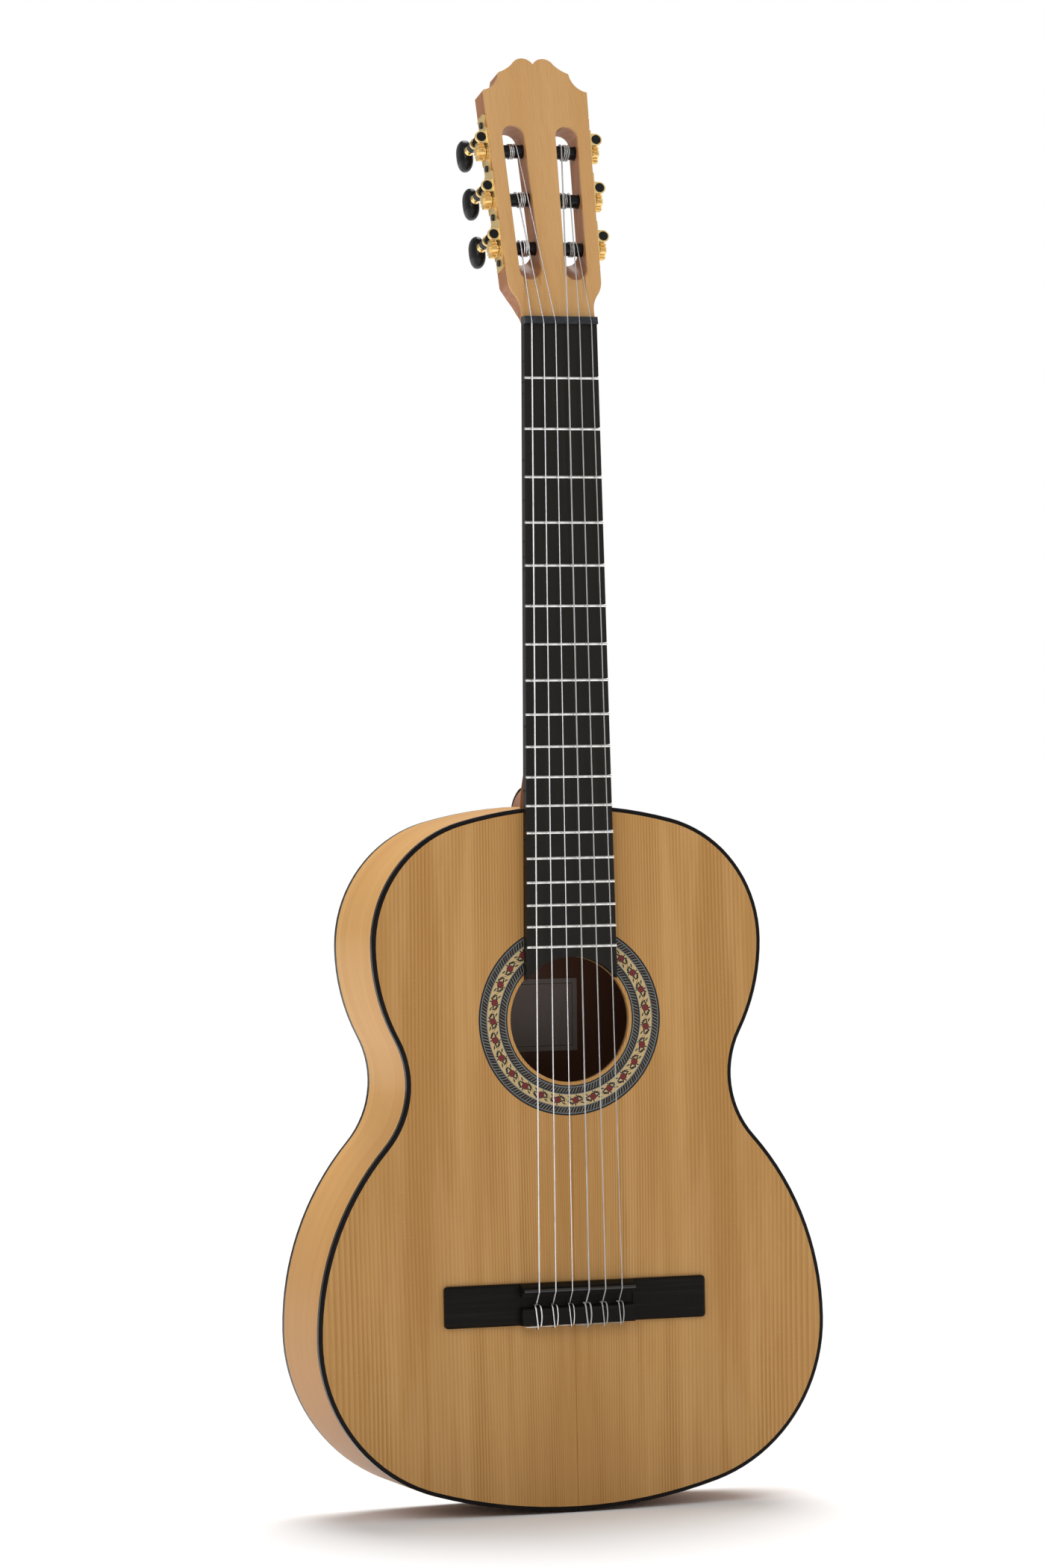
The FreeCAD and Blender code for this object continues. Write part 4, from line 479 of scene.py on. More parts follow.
def paint_binding():
    paint = Paint("binding", Specular_IOR_Level=0.06)
    fibre = paint.place.stretch(BINDING_FIBRE).noise()
    paint.set("Base Color", fibre.step(0.4, 0.8).mix(BINDING_BLACK, BINDING_BROWN))
    paint.set("Roughness", fibre * 0.16 + 0.16)
    paint.bump(fibre, 0.01)
    paint.varnish(0.04, 0.08)
    return paint


keep("ebony", paint_ebony("ebony_board", 0, 2, 71.0, (0.34, 0.5), EBONY_BOARD, 0.14))
keep("bridge", paint_ebony("ebony_bridge", 2, 0, 77.0, (0.28, 0.42), EBONY_BRIDGE, 0.08))
keep("binding", paint_binding())

# %% [markdown]
# ## Gilding and fret wire
# Metal has no colour of its own under the gloss: its colour is the colour of its reflections. The gilding
# is a little duller where hands don't rub it, and the fret wire is brushed along its length by the
# polishing. A worm shaft is black and ends in a gilt ferrule, which its paint finds by the depth behind the
# head's face.

# %% Metals
VENEER_THICKNESS = 2.3
VENEER_PLANE = -VENEER_THICKNESS / math.cos(HEAD_TILT)
NUT_BACK = 5.1
HEAD_INWARD = (0.0, math.cos(HEAD_TILT), -math.sin(HEAD_TILT))
HEAD_START = VENEER_PLANE * math.cos(HEAD_TILT) - NUT_BACK * math.sin(HEAD_TILT)
FERRULE, FERRULE_EDGE = (24.6, 32.2), 0.1
GOLD = colour(0.900, 0.650, 0.270)
GOLD_DULL = colour(0.640, 0.390, 0.150)
SHAFT_BLACK = colour(0.006, 0.006, 0.007)
NICKEL = colour(0.82, 0.81, 0.79)
NICKEL_DULL = colour(0.6, 0.59, 0.57)
GILT_BRUSH, FRET_BRUSH = (3.0, 3.0, 0.2), (0.4, 5.0, 5.0)


def tarnish(paint, scale=0.35, seed=0.0):
    """Cloudy patches, with so many spots to the millimetre."""
    place = vector(paint.x * scale, paint.y * scale, paint.z * scale + seed)
    return place.noise(detail=4.0, roughness=0.6)


def paint_gilt():
    paint = Paint("gilt_plate", Metallic=0.68)
    dull = tarnish(paint)
    brushed = paint.place.stretch(GILT_BRUSH).noise(detail=2.0)
    paint.set("Base Color", dull.step(0.5, 0.8).mix(GOLD, GOLD_DULL))
    paint.set("Roughness", dull * 0.2 + brushed * 0.1 + 0.06)
    paint.bump(brushed, 0.006)
    return paint


def paint_shaft():
    paint = Paint("worm_black", Specular_IOR_Level=0.2)
    dull = tarnish(paint, 0.6, 4.0)
    gilt = (paint.place.along(HEAD_INWARD) - HEAD_START).between(*FERRULE, FERRULE_EDGE)
    paint.set("Base Color", gilt.mix(SHAFT_BLACK, GOLD))
    paint.set("Metallic", gilt)
    paint.set("Roughness", dull * 0.16 + 0.14)
    paint.bump(dull, 0.006)
    return paint


def paint_frets():
    paint = Paint("fret_wire", Metallic=1.0)
    brushed = paint.place.stretch(FRET_BRUSH).noise()
    rubbed = (paint.x * 0.9).sin() * 0.5 + 0.5
    paint.set("Base Color", (brushed * rubbed).mix(NICKEL, NICKEL_DULL))
    paint.set("Roughness", brushed * 0.18 + 0.14)
    paint.bump(brushed, 0.008)
    return paint


keep("gilt_plate", paint_gilt())
keep("worm_black", paint_shaft())
keep("fret_wire", paint_frets())

# %% [markdown]
# ## Bone, steel and plastic
# Black things are told apart by their highlights. The nut's dark bone has a faint marbling, the saddle is
# polished more, the blackened screws are half metal, and the buttons and rollers are moulded plastic. All
# are one recipe: two near colours in a cloud that also changes the roughness a little.

# %% Polished blacks
FINER = 9.0


def paint_polished(name, base, clouded, rough, scale=0.3, gloss=0.3, **constants):
    """A cloud between two colours and two roughnesses, and a finer cloud for the relief."""
    paint = Paint(name, Specular_IOR_Level=gloss, **constants)
    cloud = tarnish(paint, scale, 8.0)
    fine = tarnish(paint, scale * FINER, 12.0)
    paint.set("Base Color", cloud.step(0.42, 0.75).mix(base, clouded))
    paint.set("Roughness", cloud * (rough[1] - rough[0]) + rough[0])
    paint.bump(fine, 0.004)
    return paint


keep("dark_bone", paint_polished("dark_bone", colour(0.016, 0.019, 0.023), colour(0.030, 0.034, 0.040),
                                 (0.16, 0.3)))
keep("saddle", paint_polished("saddle_bone", colour(0.007, 0.007, 0.008), colour(0.012, 0.012, 0.013),
                              (0.06, 0.16), gloss=0.6))
keep("black_screw", paint_polished("black_screw", colour(0.016, 0.016, 0.017), colour(0.03, 0.028, 0.026),
                                   (0.2, 0.4), Metallic=0.5))
keep("button_black", paint_polished("button_black", colour(0.006, 0.006, 0.007), colour(0.012, 0.012, 0.013),
                                    (0.14, 0.3), scale=0.12, gloss=0.2))
keep("roller_black", paint_polished("roller_black", colour(0.005, 0.005, 0.006), colour(0.012, 0.011, 0.011),
                                    (0.16, 0.32), gloss=0.2))

# %% [markdown]
# ## The rosette
# Round the soundhole lies a mosaic of dyed wood: black lines, two rope borders and, between them, a cream
# band with a garland of rosebuds. It is drawn in polar coordinates. The radius tells the band, and the
# angle, divided into twenty-seven equal cells, tells the place along the garland. Drawn by a formula, it
# stays sharp however near the camera comes.

# %% Lines and rope borders
HOLE_MIDDLE = -469.5
INLAY_BLACK = colour(0.010, 0.010, 0.011)
INLAY_GREY = colour(0.150, 0.175, 0.180)
INLAY_CREAM = colour(0.540, 0.395, 0.190)
ROPE_LIGHT = colour(0.205, 0.205, 0.180)
ROPE_RED = colour(0.120, 0.040, 0.040)
BANDS = ((44.0, INLAY_BLACK), (45.5, INLAY_GREY), (46.2, INLAY_BLACK), (49.8, INLAY_BLACK),
         (50.3, INLAY_GREY), (50.8, INLAY_CREAM), (58.9, INLAY_GREY), (59.4, INLAY_BLACK),
         (63.2, INLAY_GREY), (63.8, INLAY_BLACK))
BANDS_START, BANDS_SPAN = 44.0, 22.0
ROPES = ((46.3, 49.7, 140.0), (59.6, 63.1, 180.0))
ROPE_LEAN, ROPE_CURL = 1.1, 0.07
STRAND, STRAND_EDGE = (0.16, 0.44), 0.05


def rope(shade, radius, angle, low, high, strands):
    """Slanting strands: the angle times their number, sheared by the radius, and S-shaped by a sine."""
    share = (radius - low) / (high - low)
    turns = angle * (strands / math.tau) + share * ROPE_LEAN + (share * math.tau).sin() * ROPE_CURL
    strand = (turns % 1.0).between(*STRAND, STRAND_EDGE)
    red = vector(turns.math("FLOOR") * 0.37, 0.0, 3.0).noise(scale=3.0, detail=0.0).step(0.58, 0.62)
    light = (red * 0.6).mix(ROPE_LIGHT, ROPE_RED)
    return (strand * radius.between(low, high)).mix(shade, light)


print("bands of the mosaic:", len(BANDS), "with ropes over", len(ROPES))

# %% [markdown]
# ## The garland
# A stem swings from side to side of the cream band, once in each cell, with a rosebud where it crosses the
# middle and a dozen leaves round it. A leaf is an ellipse, given by its place, its turn and its half sizes.
# A bud is a wavy circle with a red face, and a spiral of the radius and the angle draws its petals.

# %% One cell of the garland
LEAF = colour(0.014, 0.018, 0.020)
BUD_RED = colour(0.190, 0.022, 0.026)
BUD_DEEP = colour(0.050, 0.008, 0.012)
BUDS = 27
CELL = 12.77
VINE_RADIUS, VINE_SWING, VINE_EDGE = 54.85, 2.3, (0.1, 0.3)
BUD_OUTLINE, BUD_FACE, PETAL_FIELD = (2.3, 2.45), (1.95, 2.1), (1.8, 2.0)
BUD_WAVES, BUD_WAVE_HEIGHT, PETAL_SPIRAL = 5.0, 0.13, 4.2
LEAF_EDGE = (0.75, 1.15)
LEAVES = ((-3.6, 1.5, 35, 1.9, 0.60), (-3.0, -0.8, -16, 1.7, 0.58), (-4.8, 0.5, 82, 1.5, 0.48),
          (3.4, -1.6, 35, 1.9, 0.60), (3.0, 0.6, -18, 1.6, 0.55), (4.6, -0.2, 72, 1.5, 0.48),
          (-1.9, 2.2, 128, 1.4, 0.50), (1.9, -2.2, 128, 1.4, 0.50), (-0.3, 2.8, 80, 1.2, 0.42),
          (4.5, 2.1, 24, 1.5, 0.46), (-4.6, -2.3, 24, 1.5, 0.46), (0.9, -3.0, 62, 1.1, 0.40))


def leaf(s, t, s_place, t_place, degrees, half_long, half_wide):
    """1 inside an ellipse: the squares of both turned distances, over their half sizes, add up to under 1."""
    cosine, sine = math.cos(math.radians(degrees)), math.sin(math.radians(degrees))
    run, rise = s - s_place, t - t_place
    long = (run * cosine + rise * sine) / half_long
    wide = (rise * cosine - run * sine) / half_wide
    return 1 - (long * long + wide * wide).step(*LEAF_EDGE)


def garland(shade, radius, angle):
    """Cells of one rosebud each: s runs along the band and t outwards, both in mm."""
    s = ((angle * (BUDS / math.tau)) % 1.0 - 0.5) * CELL
    t = radius - VINE_RADIUS
    stem = abs(t + (s * (math.tau / CELL)).sin() * VINE_SWING)
    shade = (1 - stem.step(*VINE_EDGE)).mix(shade, LEAF)
    for placed in LEAVES:
        shade = leaf(s, t, *placed).mix(shade, LEAF)
    bud = (s * s + t * t).root()
    turn = s.angle_to(t)
    wobble = bud + (turn * BUD_WAVES).sin() * BUD_WAVE_HEIGHT
    shade = (1 - wobble.step(*BUD_OUTLINE)).mix(shade, LEAF)
    shade = (1 - wobble.step(*BUD_FACE)).mix(shade, BUD_RED)
    swirl = abs((bud * PETAL_SPIRAL + turn).sin())
    petals = (1 - swirl.step(0.2, 0.45)) * (1 - wobble.step(*PETAL_FIELD))
    return petals.mix(shade, BUD_DEEP)


def paint_rosette():
    paint = Paint("rosette", Specular_IOR_Level=0.15)
    rise = paint.z - HOLE_MIDDLE
    radius = (paint.x * paint.x + rise * rise).root()
    angle = paint.x.angle_to(rise)
    stops = [((low - BANDS_START) / BANDS_SPAN, shade) for low, shade in BANDS]
    shade = ((radius - BANDS_START) / BANDS_SPAN).bands(stops)
    for low, high, strands in ROPES:
        shade = rope(shade, radius, angle, low, high, strands)
    shade = garland(shade, radius, angle)
    grain = vector(paint.x * 1.5, 0.0, paint.z * 0.05).noise()
    paint.set("Base Color", (grain * 0.25).mix(shade, colour(0.05, 0.03, 0.02)))
    paint.set("Roughness", grain * 0.14 + 0.3)
    paint.bump(grain, 0.01)
    paint.varnish(0.06, 0.15)
    return paint


keep("rosette", paint_rosette())

# %% [markdown]
# ## Strings and label
# The three bass strings are wound with silver-plated wire, about four turns to the millimetre, so tiny
# ridges cross them. The three trebles are plain clear nylon. The label is blank paper with a printed border
# line.

# %% Winding, nylon and paper
WINDING_PITCH = 0.27
WINDING_HEIGHT = 0.03
SILVER, SILVER_DULL = colour(0.80, 0.80, 0.81), colour(0.60, 0.595, 0.59)
NYLON, NYLON_CLOUDED = colour(0.72, 0.715, 0.70), colour(0.60, 0.59, 0.57)
PAPER, PAPER_FIBRE = colour(0.32, 0.26, 0.23), colour(0.25, 0.20, 0.175)
PRINT = colour(0.03, 0.025, 0.02)
LABEL_BORDER = (32.5, 21.5)
LABEL_LINE = (0.15, 0.35)


def paint_winding():
    """Ridges of a wound wire: a sine of the length along the string, which its map holds as V."""
    paint = Paint("bass_string", Metallic=1.0)
    ridges = (paint.map.part(1) * (math.tau / WINDING_PITCH)).sin() * 0.5 + 0.5
    dull = tarnish(paint, 0.08, 2.0)
    paint.set("Base Color", dull.step(0.45, 0.8).mix(SILVER, SILVER_DULL))
    paint.set("Roughness", dull * 0.14 + 0.16)
    paint.bump(ridges, WINDING_HEIGHT)
    return paint


def paint_nylon():
    paint = Paint("nylon_string", IOR=1.45, Transmission_Weight=0.5)
    cloud = tarnish(paint, 0.05, 6.0)
    paint.set("Base Color", cloud.step(0.4, 0.7).mix(NYLON, NYLON_CLOUDED))
    paint.set("Roughness", cloud * 0.12 + 0.12)
    paint.bump(cloud, 0.01)
    return paint


def paint_label():
    """Its border lies where the greater of the two distances to the border's sides is nothing."""
    paint = Paint("label_paper")
    fibres = vector(paint.x, 0.0, paint.z).noise(scale=1.6, detail=4.0)
    far_x = abs(paint.x) - LABEL_BORDER[0]
    far_z = abs(paint.z - HOLE_MIDDLE) - LABEL_BORDER[1]
    line = 1 - abs(far_x.math("MAXIMUM", far_z)).step(*LABEL_LINE)
    paint.set("Base Color", (line * 0.7).mix(fibres.mix(PAPER, PAPER_FIBRE), PRINT))
    paint.set("Roughness", fibres * 0.1 + 0.8)
    paint.bump(fibres, 0.02)
    return paint


keep("bass_string", paint_winding())
keep("nylon_string", paint_nylon())
keep("label_paper", paint_label())

# %% [markdown]
# ## Dressing the CAD pieces
# Every node takes the paint of its material slot. A few nodes have a paint of their own, because their
# grain runs another way or they are polished more.

# %% Each node takes its paint
for node, slot in slot_of.items():
    piece = frame["nodes"][node]
    piece.data.materials.clear()
    piece.data.materials.append(paints.get(node, paints[slot]).material)
print("paints made:", len(paints), "nodes dressed:", len(slot_of))

# %% [markdown]
# ## Bends without a seam
# The CAD meshes are loose triangles, shaded smoothly inside each face of the solid, so a bent rib shows a
# faint step where one arc ends and the next begins. A copy whose equal corners are joined is shaded right
# across, and only its real edges stay sharp. The CAD mesh itself is left alone.

# %% Welded copies
WELD = 1e-5
SHARP_EDGE = math.radians(32.0)
BENT_PIECES = ("side_bass", "side_treble", "top_binding", "back_binding", "neck", "headstock")


def stand_in(name, mesh, body, node):
    """Puts a mesh into the scene as a piece that rides on a body, in place of a CAD node."""
    piece = bpy.data.objects.new(name, mesh)
    bpy.context.scene.collection.objects.link(piece)
    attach(piece, body)
    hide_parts(node)


def welded(node):
    """The same triangles, with corners that agree to a hundredth of a millimetre made one."""
    source = frame["nodes"][node].data
    corners = np.empty(len(source.vertices) * 3)
    source.vertices.foreach_get("co", corners)
    corners = corners.reshape(-1, 3)
    triangles = np.empty(len(source.loops), int)
    source.loops.foreach_get("vertex_index", triangles)
    rounded = np.round(corners / WELD).astype(int)
    _, first, joined = np.unique(rounded, axis=0, return_index=True, return_inverse=True)
    faces = joined.ravel()[triangles].reshape(-1, 3)
    whole = (faces != np.roll(faces, 1, axis=1)).all(axis=1)
    mesh = bpy.data.meshes.new("smooth_" + node)
    mesh.from_pydata(corners[first], [], faces[whole].tolist())
    mesh.polygons.foreach_set("use_smooth", [True] * len(mesh.polygons))
    mesh.set_sharp_from_angle(angle=SHARP_EDGE)
    mesh.materials.append(source.materials[0])
    print(mesh.name, "corners", len(corners), "joined to", len(first))
    return mesh


for node in BENT_PIECES:
    stand_in("smooth_" + node, welded(node), "guitar", node)

# %% [markdown]
# ## A surface from rings
# In the CAD model a string is a six-sided tube. Here a circle is carried along the same route, which gives
# a round string and a length to wind its wire along. The circle's places are rings of points, and quads
# between one ring and the next make the surface. Its map is laid at once: U goes round a ring, and V is the
# length in millimetres.

# %% A skin and a tube
TUBE_SIDES = 12
SKEW = np.array((0.62, 0.55, 0.56))


def unit(way):
    """The same direction with length 1."""
    return way / np.linalg.norm(way, axis=-1, keepdims=True)


def skin(name, rings, length, body, node, slot):
    """Quads between rings of points, (count, sides, 3) in millimetres, and a cap at each end. U runs round a
    ring and V is the length that goes with it."""
    count, sides = rings.shape[:2]
    places = rings.reshape(-1, 3) / 1000
    ring, side = np.meshgrid(np.arange(count - 1), np.arange(sides), indexing="ij")
    following = (side + 1) % sides
    quads = np.stack((ring * sides + side, ring * sides + following,
                      (ring + 1) * sides + following, (ring + 1) * sides + side), -1).reshape(-1, 4)
    last = (count - 1) * sides
    caps = [list(range(sides))[::-1], list(range(last, last + sides))]
    mesh = bpy.data.meshes.new(name)
    mesh.from_pydata(places, [], quads.tolist() + caps)
    u = np.stack((side, side + 1, side + 1, side), -1) / sides
    v = np.stack((length[ring], length[ring], length[ring + 1], length[ring + 1]), -1)
    uv = np.concatenate((np.stack((u, v), -1).reshape(-1, 2), np.zeros((2 * sides, 2))))
    mesh.uv_layers.new(name="length").data.foreach_set("uv", uv.ravel())
    mesh.polygons.foreach_set("use_smooth", [True] * len(quads) + [False] * 2)
    mesh.materials.append(paints[slot].material)
    stand_in(name, mesh, body, node)
    apart = np.abs(np.array((places.min(0), places.max(0))) - np.array(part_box(node))).max() * 1000
    print(name, "length", round(float(length[-1]), 1), "mm, box", round(float(apart), 2), "mm from the CAD")


def tube(name, route, radius, body, node, slot):
    """Place = route + radius * (cosine * aside + sine * over); aside crosses the way with a skew line."""
    ways = unit(np.gradient(route, axis=0))
    aside = unit(np.cross(ways, SKEW))
    over = np.cross(ways, aside)
    theta = np.arange(TUBE_SIDES)[:, None] * (math.tau / TUBE_SIDES)
    circle = np.cos(theta) * aside[:, None] + np.sin(theta) * over[:, None]
    length = np.concatenate(([0.0], np.cumsum(np.linalg.norm(np.diff(route, axis=0), axis=1))))
    skin(name, route[:, None] + radius * circle, length, body, node, slot)


# %% [markdown]
# ## Rounded routes
# A string runs straight from one seat to the next and bends round each. So its route is a short list of
# corners, with the radius that rounds each one, and an arc joins the runs without a kink.

# %% Corners become arcs
ARC_STEPS = 9
CORNER_SHARE, STRAIGHT_ENOUGH = 0.45, 1e-6
RIGHT_ANGLE = np.array(((0.0, 0.0, 0.0), (10.0, 0.0, 0.0), (10.0, 10.0, 0.0)))


def rounded_route(points, radii):
    """Corners become arcs: centre plus radius times (start way times sine less inward way times cosine).
    A radius of None takes what its two runs allow."""
    runs = [points[:1]]
    for before, corner, after, radius in zip(points, points[1:], points[2:], radii):
        come, leave = unit(corner - before), unit(after - corner)
        turn = math.acos(max(-1.0, min(1.0, float(come @ leave))))
        reach = CORNER_SHARE * min(np.linalg.norm(corner - before), np.linalg.norm(after - corner))
        if turn < STRAIGHT_ENOUGH:
            runs.append([corner])
            continue
        reach = radius * math.tan(turn / 2) if radius else reach
        size = reach / math.tan(turn / 2)
        inward = (leave - come * math.cos(turn)) / math.sin(turn)
        phi = np.linspace(0.0, turn, ARC_STEPS)[:, None]
        arc = size * (come * np.sin(phi) - inward * np.cos(phi))
        runs.append(corner - come * reach + inward * size + arc)
    return np.concatenate(runs + [points[-1:]])


print("points of a rounded right angle:", len(rounded_route(RIGHT_ANGLE, [2.0])))

# %% [markdown]
# ## Places on the head
# The places are the guitar's own sizes in millimetres. A point of the head is given by how far it lies out
# from the head's side, how deep behind its face, and how far up, and the treble side mirrors the bass side.
# The outer strings go to the rollers nearest the nut.

# %% The head's own coordinates
STRINGS, BASSES = 6, 3
SHOULDER_HALF, SHOULDER_UP = 33.4, 27.0
HEAD_TAPER, HEAD_TAPER_LENGTH = 4.0, 136.0
SHOULDER = np.array((SHOULDER_HALF, VENEER_PLANE + SHOULDER_UP * math.sin(HEAD_TILT),
                     NUT_BACK + SHOULDER_UP * math.cos(HEAD_TILT)))
TAPER = math.atan2(HEAD_TAPER, HEAD_TAPER_LENGTH)
UP = np.array(HEAD_UP)
INWARD = np.array(HEAD_INWARD)
ACROSS = np.array((1.0, 0.0, 0.0))
ROLLERS = (24.5, 59.5, 94.5)


def head_side(out, depth, up, sign):
    """Points of the head from three lengths: out from its side, behind its face, and up along that side."""
    aside = ACROSS * math.cos(TAPER) - UP * math.sin(TAPER)
    rise = ACROSS * math.sin(TAPER) + UP * math.cos(TAPER)
    lengths = np.stack(np.broadcast_arrays(out, depth, up), -1)
    return (SHOULDER + lengths @ np.array((aside, INWARD, rise))) * (sign, 1.0, 1.0)


def roller_of(number):
    """The index of a string's roller, and -1 on the bass side of the head or 1 on the treble side."""
    return min(number, STRINGS + 1 - number) - 1, -1.0 if number <= BASSES else 1.0


print("head side at the first roller:", head_side(0.0, 0.0, ROLLERS[0], 1.0).round(1))

# %% [markdown]
# ## Where the strings run
# Each string leaves the wrap on its roller, bends over the nut and the saddle, goes through the tie block,
# back over it, round itself, and over the block once more to its loose end. The three turns on the roller
# are a piece of their own, because they turn with it.

# %% Sizes of the strings and their seats
DIAMETERS = (1.09, 0.89, 0.74, 1.02, 0.82, 0.71)
NUT_SPAN, SADDLE_SPAN = 42.8, 59.3
NUT_STRING_HEIGHT, NUT_BREAK, NUT_BEND = 8.2, 1.0, 9.0
SADDLE_PLACE, SADDLE_WIDTH, STRING_SEAT, SADDLE_TRIES = -651.0, 2.6, 0.05, 5
CROWN_AT_BODY = 10.2
BODY_JOINT = -325.0
ROLLER_DEPTH, BARREL_RADIUS, SLOT_INSET = 9.5, 4.6, 17.2
WRAP_OFFSETS, WRAP_GAP, WRAP_TURN = (3.4, 0.9, -2.9), 0.3, math.radians(190.0)
COIL_TURNS, COIL_GAP, COIL_SEAT, COIL_STEPS = 3, 0.5, 0.1, 4 * ARC_STEPS
BLOCK_REAR, BLOCK_WIDTH, BLOCK_HEIGHT, VALLEY = -674.4, 11.8, 9.0, 3.2
KNOT_SEAT, KNOT_SPACE, KNOT_LEAD, KNOT_BEND, KNOT_BULGE = 0.25, 0.75, 1.9, 2.5, 1.5
HOLE_HEIGHT, TAIL_LENGTH = 5.0, 8.0


def wrap(number, radius, start):
    """The turn round the roller: centre plus a circle in the plane of the run from the nut."""
    index, sign = roller_of(number)
    centre = head_side(WRAP_OFFSETS[index] - SLOT_INSET, ROLLER_DEPTH, ROLLERS[index], sign)
    link = centre - start
    level = unit(link - INWARD * (link @ INWARD))
    run, fall = link @ level, link @ INWARD
    around = BARREL_RADIUS + WRAP_GAP + radius
    first = math.atan2(fall, run) - math.asin(around / math.hypot(run, fall)) - math.pi / 2
    phi = np.linspace(first + WRAP_TURN, first, 2 * ARC_STEPS)[:, None]
    return centre + around * (np.cos(phi) * level + np.sin(phi) * INWARD)


def saddle_corner(x, radius, before, after):
    """The corner whose rounding runs about the crown of the saddle, found in a few steps."""
    under = NUT_STRING_HEIGHT + (CROWN_AT_BODY - NUT_STRING_HEIGHT) * SADDLE_PLACE / BODY_JOINT
    around = SADDLE_WIDTH / 2 + radius + STRING_SEAT
    centre = np.array((x, -under + SADDLE_WIDTH / 2, SADDLE_PLACE))
    corner = centre - (0.0, around, 0.0)
    for _ in range(SADDLE_TRIES):
        come, leave = unit(corner - before), unit(after - corner)
        corner = centre - unit(leave - come) * (around / math.cos(math.acos(come @ leave) / 2))
    return corner, around


def knot(x, radius):
    """The tie at the block: in at its hole, over, round the string, back over with a bulge, out sideways."""
    over, under = -(BLOCK_HEIGHT + KNOT_SEAT + radius), -(VALLEY + KNOT_SEAT + radius)
    spread = 2 * radius + KNOT_SPACE
    front, tail = BLOCK_REAR + BLOCK_WIDTH, BLOCK_REAR - KNOT_SEAT - radius
    lead, middle = front + KNOT_LEAD, BLOCK_REAR + BLOCK_WIDTH / 2
    hole, end = -HOLE_HEIGHT, -HOLE_HEIGHT - spread
    return np.array(((x, hole, front + radius), (x, hole, tail - spread), (x, over, tail - spread),
                     (x - spread, over, lead), (x - spread, under, lead), (x + spread, under, lead),
                     (x + spread, over, lead), (x + spread * KNOT_BULGE, over, middle),
                     (x + spread, over, tail), (x + spread, end, tail), (x - TAIL_LENGTH, end, tail)))


print("corners of a tie:", len(knot(0.0, DIAMETERS[0] / 2)))

# %% Routes and round strings
def string_route(number, radius):
    """From the roller to the loose end at the bridge."""
    share = (number - 1) / (STRINGS - 1) - 0.5
    nut = np.array((share * NUT_SPAN, -NUT_STRING_HEIGHT - radius, NUT_BREAK))
    tie = knot(share * SADDLE_SPAN, radius)
    corner, around = saddle_corner(share * SADDLE_SPAN, radius, nut, tie[0])
    turn = wrap(number, radius, nut)
    points = np.concatenate((turn[-1:], [nut, corner], tie))
    bends = [NUT_BEND, around, KNOT_BEND] + [None] * (len(tie) - 2)
    return np.concatenate((turn[:-1], rounded_route(points, bends)))


def coil_route(number, radius):
    """A helix on the roller: out = start + pitch * angle / one turn, and a circle of the other lengths."""
    index, sign = roller_of(number)
    around = BARREL_RADIUS + COIL_SEAT + radius
    pitch = (2 * radius + COIL_GAP) * (-1.0 if WRAP_OFFSETS[index] > 0 else 1.0)
    angle = np.linspace(0.0, COIL_TURNS * math.tau, COIL_TURNS * COIL_STEPS)
    out = WRAP_OFFSETS[index] - SLOT_INSET + pitch * (1 + angle / math.tau)
    depth, up = ROLLER_DEPTH + around * np.sin(angle), ROLLERS[index] + around * np.cos(angle)
    return head_side(out, depth, up, sign)


for number, diameter in enumerate(DIAMETERS, 1):
    slot = "bass_string" if number <= BASSES else "nylon_string"
    tube(f"round_string_{number}", string_route(number, diameter / 2), diameter / 2, "guitar",
         f"string_{number}", slot)
    tube(f"round_coil_{number}", coil_route(number, diameter / 2), diameter / 2, f"roller_set_{number}",
         f"string_coil_{number}", slot)

# %% [markdown]
# ## Round buttons
# The CAD buttons are faceted. A moulded button is a soft oval, so its surface is a superellipsoid, which is
# the formula of an ellipsoid with its sines and cosines raised to a power: below 1 it gets fuller
# shoulders.

# %% A superellipsoid
BUTTON_HALF = (5.0, 8.0, 11.0)
BUTTON_OUT, BUTTON_DEPTH, BUTTON_ABOVE_ROLLER = 5.0, 40.0, 8.4
BUTTON_RINGS, BUTTON_SIDES, BUTTON_END = 28, 36, 1.55
BUTTON_POWER = 0.8


def power(values):
    """A sine or cosine raised to a power below 1, with its sign kept."""
    return np.sign(values) * np.abs(values) ** BUTTON_POWER


def button_rings(number):
    """Half sizes times (cos v cos u, cos v sin u, sin v), each raised to a power: out, depth and up."""
    index, sign = roller_of(number)
    v = np.linspace(-BUTTON_END, BUTTON_END, BUTTON_RINGS)[:, None]
    u = np.arange(BUTTON_SIDES) * (math.tau / BUTTON_SIDES) * sign
    half_out, half_deep, half_up = BUTTON_HALF
    return head_side(BUTTON_OUT + half_out * power(np.cos(v)) * power(np.cos(u)),
                     BUTTON_DEPTH + half_deep * power(np.cos(v)) * power(np.sin(u)),
                     ROLLERS[index] + BUTTON_ABOVE_ROLLER + half_up * power(np.sin(v)), sign)


for number in range(1, STRINGS + 1):
    skin(f"round_button_{number}", button_rings(number), np.linspace(0.0, 2 * BUTTON_HALF[2], BUTTON_RINGS),
         f"tuner_{number}", f"button_{number}", "button_black")

# %% [markdown]
# ## The camera
# It stands low on the bass side and well back, where the photograph was taken from, with a long lens. Its
# place and turn come from matching the frets, whose real places are known.

# %% A long lens on the bass side
CAMERA_PLACE = Vector((-1.204597, -3.408875, -0.332829))
CAMERA_YAW = math.radians(19.0)
CAMERA_PITCH = math.radians(-0.36132)
CAMERA_ROLL = math.radians(-1.01291)
CAMERA_LENS, SENSOR_WIDTH = 122.81, 36.0
CLIP_START, CLIP_END = 0.05, 100.0


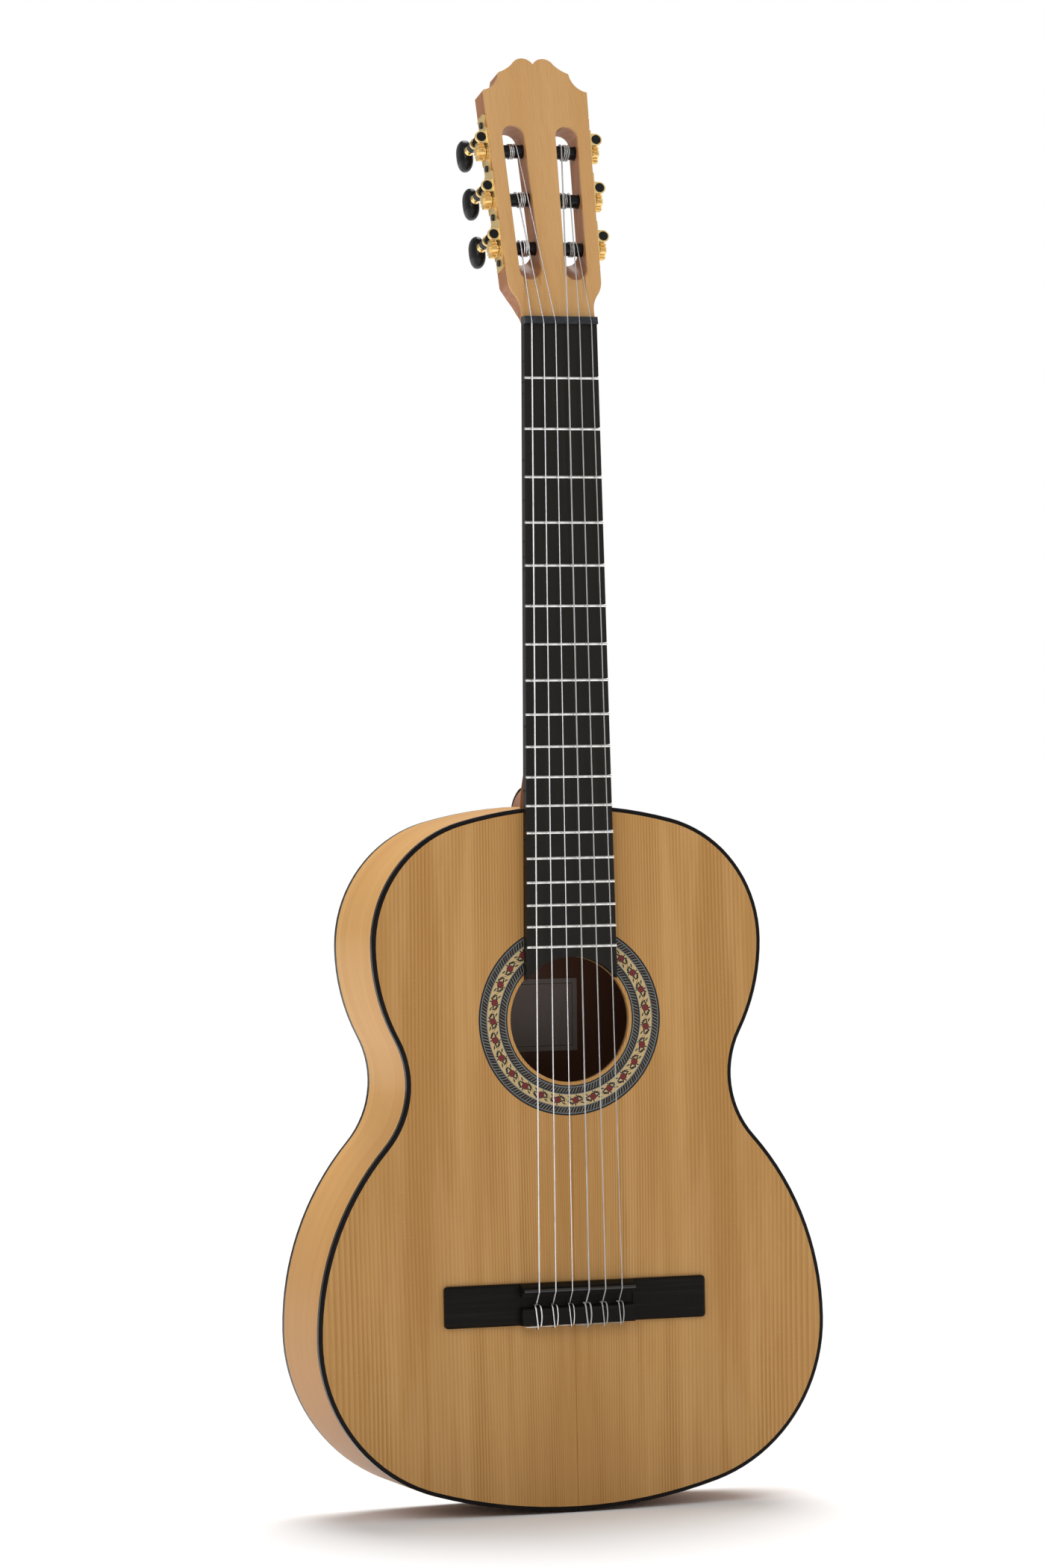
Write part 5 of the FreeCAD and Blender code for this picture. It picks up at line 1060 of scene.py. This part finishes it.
def camera_turn():
    """Columns right, up and back of a camera that looks along +Y, then yaws, pitches and rolls."""
    forward = Matrix(((1, 0, 0), (0, 0, -1), (0, 1, 0)))
    yaw = Matrix.Rotation(CAMERA_YAW, 3, "Z")
    pitch = Matrix.Rotation(CAMERA_PITCH, 3, "X")
    roll = Matrix.Rotation(CAMERA_ROLL, 3, "Z")
    right, down, ahead = roll @ pitch @ forward @ yaw
    return Matrix((right, -down, -ahead)).transposed()


camera = bpy.data.objects.new("camera", bpy.data.cameras.new("camera"))
bpy.context.scene.collection.objects.link(camera)
camera.matrix_world = Matrix.Translation(CAMERA_PLACE) @ camera_turn().to_4x4()
camera.data.lens = CAMERA_LENS
camera.data.sensor_width = SENSOR_WIDTH
camera.data.clip_start = CLIP_START
camera.data.clip_end = CLIP_END
bpy.context.scene.camera = camera
print("camera from the nut:", round(CAMERA_PLACE.length, 2), "m")

# %% [markdown]
# ## Lamps and tent
# The light comes from all around, as in a photographer's tent whose roof is the brightest, so a soft shadow
# lies at the foot. One large lamp stands at the left front and a weaker one at the right front. The
# backdrop looks white, but lights the guitar less than it would so near, which keeps the varnish from
# turning milky.

# %% Light from all around
KEY_PLACE, KEY_SIZE, KEY_POWER = (-2.2, -2.4, 1.8), 2.2, 40.0
FILL_PLACE, FILL_SIZE, FILL_POWER = (2.4, -2.6, 1.4), 2.0, 14.0
ROOF_FROM, ROOF_ANGLE, ROOF_STRENGTH = (0.16, 0.4, 0.9), math.radians(44.0), 2.6
TENT_STRENGTH = 0.43
WHITE = colour(1.0, 1.0, 1.0)


def lamp(name, kind, place, target, power):
    """A lamp that faces a target. Returns its data, for its size or angle."""
    data = bpy.data.lights.new(name, kind)
    data.energy = power
    made = bpy.data.objects.new(name, data)
    bpy.context.scene.collection.objects.link(made)
    made.location = place
    made.rotation_euler = (Vector(target) - Vector(place)).to_track_quat("-Z", "Y").to_euler()
    return data


low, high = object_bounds()
centre = (low + high) / 2
lamp("key", "AREA", KEY_PLACE, centre, KEY_POWER).size = KEY_SIZE
lamp("fill", "AREA", FILL_PLACE, centre, FILL_POWER).size = FILL_SIZE
lamp("roof", "SUN", ROOF_FROM, (0.0, 0.0, 0.0), ROOF_STRENGTH).angle = ROOF_ANGLE

world = bpy.data.worlds.new("tent")
bpy.context.scene.world = world
world.use_nodes = True
tent = world.node_tree
cloth = tent.nodes["Background"]
cloth.inputs["Color"].default_value = WHITE
cloth.inputs["Strength"].default_value = TENT_STRENGTH
seen = Wire(tent, tent.nodes.new("ShaderNodeLightPath").outputs["Is Camera Ray"])
backdrop = seen.node("ShaderNodeBackground", {"Color": WHITE, "Strength": 1.0})
either = seen.node("ShaderNodeMixShader", {0: seen, 1: Wire(tent, cloth.outputs[0]), 2: backdrop})
tent.links.new(either.socket, tent.nodes["World Output"].inputs["Surface"])
bpy.context.scene.view_settings.view_transform = "Standard"
print("lamps:", len(bpy.data.lights))

# %% [markdown]
# ## The floor
# The guitar stands on a plain pale floor, so wide that its far edge can't be told from the backdrop. It
# lies a little below the body, so that the two faces don't flicker, and it belongs to the stage and not to
# the guitar.

# %% A plain floor
FLOOR_HALF = 60.0
FLOOR_DROP = 0.0015
CORNERS = ((-1, -1), (1, -1), (1, 1), (-1, 1))
floor = bpy.data.objects.new("floor", bpy.data.meshes.new("floor"))
floor.data.from_pydata([(x * FLOOR_HALF, y * FLOOR_HALF, low.z - FLOOR_DROP) for x, y in CORNERS], [],
                       [(0, 1, 2, 3)])
bpy.context.scene.collection.objects.link(floor)
floor.data.materials.append(Paint("floor", Base_Color=colour(0.955, 0.955, 0.955), Roughness=0.9).material)
print("floor level:", round(low.z - FLOOR_DROP, 4), "m")

# %% [markdown]
